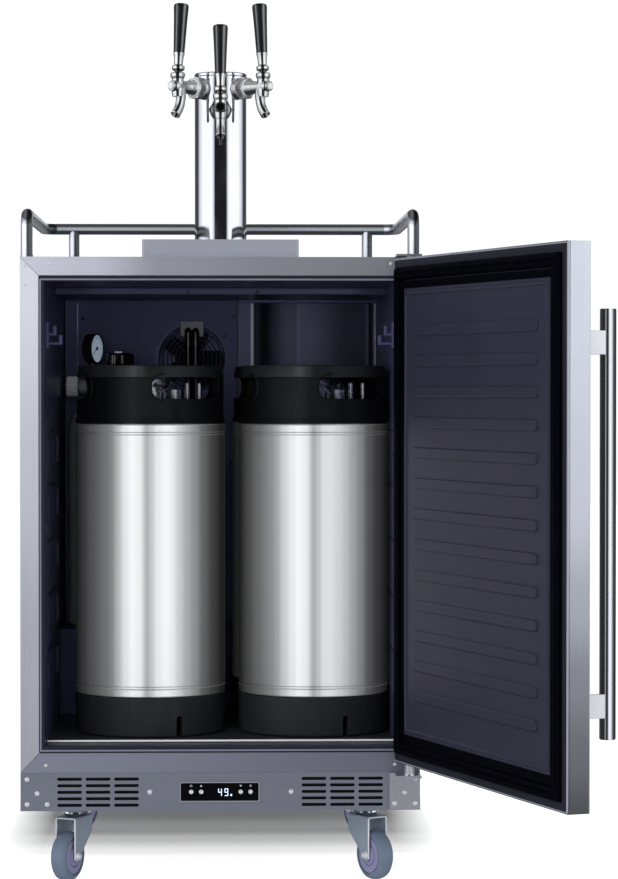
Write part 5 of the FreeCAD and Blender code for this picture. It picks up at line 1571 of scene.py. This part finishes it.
def stage_floor():
    """A plain white floor that runs out of sight, with the soft shade of the cabinet painted on it."""
    made = mesh_piece("stage_floor", mm([(-14000, -9000, 0), (14000, -9000, 0), (14000, 14000, 0),
                                         (-14000, 14000, 0)]), [(0, 1, 2, 3)])
    floor_paint, tree, shader = new_material("stage_floor_paint")
    coordinates = add_node(tree, "TexCoord").outputs["Object"]
    place = add_node(tree, "SeparateXYZ", {"Vector": coordinates})
    sideways = add_node(tree, "Math", {0: place.outputs["X"]}, operation="ABSOLUTE").outputs[0]
    flank = remap(tree, sideways, 0.0, 1.0, HALF - 0.010, HALF + 0.075)
    depth = ramp(tree, remap(tree, place.outputs["Y"], 0.0, 1.0, -0.14, 0.60), FLOOR_SHADE)
    behind = remap(tree, place.outputs["Y"], 0.0, 1.0, 0.47, 0.66)
    open_floor = add_node(tree, "Math", {0: flank, 1: behind}, operation="MAXIMUM").outputs[0]
    shade_map = colour_mix(tree, open_floor, depth, rgb(1, 1, 1))
    cloud = stretched_noise(tree, (0.8, 0.8, 0.8))
    set_inputs(tree, shader, Base_Color=colour_mix(tree, cloud, rgb(0.20, 0.20, 0.20), rgb(0.22, 0.22, 0.22)),
               Roughness=0.95, Specular_IOR_Level=0.0, Emission_Color=shade_map, Emission_Strength=1.02)
    made.data.materials.append(floor_paint)
    made.visible_glossy = False
    made.visible_diffuse = False


def world_light():
    """Soft studio light: white to the eye, and in reflections a bright room with a dark camera side."""
    world = bpy.data.worlds.new("studio")
    bpy.context.scene.world = world
    world.use_nodes = True
    tree = world.node_tree
    tree.nodes.clear()
    direction = add_node(tree, "TexCoord").outputs["Generated"]
    parts = add_node(tree, "SeparateXYZ", {"Vector": direction})
    negative_y = add_node(tree, "Math", {0: parts.outputs["Y"], 1: -1.0}, operation="MULTIPLY").outputs[0]
    azimuth = add_node(tree, "Math", {0: parts.outputs["X"], 1: negative_y}, operation="ARCTAN2").outputs[0]
    turn = add_node(tree, "Math", {0: azimuth, 1: 1 / math.pi}, operation="MULTIPLY").outputs[0]
    fraction = add_node(tree, "Math", {0: turn}, operation="ABSOLUTE").outputs[0]
    below = ramp(tree, fraction, BELOW_EYE)
    above = ramp(tree, fraction, ABOVE_EYE)
    up = remap(tree, parts.outputs["Z"], 0.0, 1.0, 0.0, 0.02)
    room = colour_mix(tree, up, below, above)
    height = ramp(tree, remap(tree, parts.outputs["Z"], 0.0, 1.0, -1.0, 1.0), BY_HEIGHT)
    tinted = product(tree, product(tree, room, height), (0.93, 0.96, 1.04))
    path = add_node(tree, "LightPath")
    reflected = add_node(tree, "Background", {"Color": tinted, "Strength": 1.25})
    ambient = add_node(tree, "Background", {"Color": rgb(0.97, 0.985, 1.0), "Strength": 1.02})
    seen = add_node(tree, "Background", {"Color": rgb(1, 1, 1), "Strength": 1.05})
    light = ambient.outputs[0]
    for ray, other in (("Is Glossy Ray", reflected), ("Is Camera Ray", seen)):
        light = add_node(tree, "MixShader", {0: path.outputs[ray], 1: light, 2: other.outputs[0]}).outputs[0]
    add_node(tree, "OutputWorld", {"Surface": light})


def area_light(name, power, place, size, aim, receivers=None):
    """A soft lamp that points at a spot, for every piece or for one collection of them."""
    lamp = bpy.data.lights.new(name, "AREA")
    lamp.shape = "RECTANGLE"
    lamp.size, lamp.size_y = size
    lamp.energy = power
    holder = bpy.data.objects.new(name, lamp)
    bpy.context.scene.collection.objects.link(holder)
    holder.location = place
    holder.rotation_euler = (Vector(aim) - Vector(place)).to_track_quat("-Z", "Y").to_euler()
    holder.visible_glossy = False
    if receivers:
        holder.light_linking.receiver_collection = receivers
    return holder


def collection_of(name, pieces):
    """A collection of pieces, for a lamp that lights nothing else."""
    made = bpy.data.collections.new(name)
    for piece in pieces:
        made.objects.link(bpy.data.objects[piece])
    return made


def cavity_lamps():
    """Two lamps for the cavity alone, whose reflections draw the liner's rounded edges."""
    receivers = collection_of("cavity_pieces", CAVITY_PIECES)
    for name, settings in CAVITY_LAMPS.items():
        area_light(name, *settings, receivers).visible_glossy = True


def keg_lamps():
    """Two side lamps for the steel shells alone, which carry light round to their flanks."""
    receivers = collection_of("keg_shells", ["keg_%s_shell" % name for name in KEGS])
    for name, settings in KEG_LAMPS.items():
        area_light(name, *settings, receivers).data.use_shadow = False


def studio():
    """Lamps and view settings."""
    world_light()
    cavity_lamps()
    keg_lamps()
    for name, settings in LAMPS.items():
        area_light(name, *settings)
    view = bpy.context.scene.view_settings
    view.view_transform = "Standard"
    view.look = "None"


def camera():
    """Camera at eye height in front of the cabinet's face."""
    lens = bpy.data.cameras.new("camera")
    lens.sensor_fit = "VERTICAL"
    lens.sensor_height = 36
    lens.lens = LENS
    holder = bpy.data.objects.new("camera", lens)
    bpy.context.scene.collection.objects.link(holder)
    holder.location = EYE
    holder.rotation_euler = (math.radians(90 - EYE_TILT), 0, math.radians(-EYE_TURN))
    bpy.context.scene.camera = holder


cabinet_shell()
front_frame()
breaker_strip()
cabinet_screws()
kick_backing()
back_fittings()
liner_details()
controller()
guard_rail()
tower()
for faucet_name, (faucet_angle, faucet_z) in FAUCETS.items():
    faucet(faucet_name, faucet_angle, faucet_z)
drip_tray()
door()
for keg_name, (keg_x, keg_y) in KEGS.items():
    keg(keg_name, keg_x, keg_y)
cold_air_unit()
drain_hoses()
gas_supply()
hand_controls()
machine_compartment()
casters()
stage_floor()
studio()
camera()
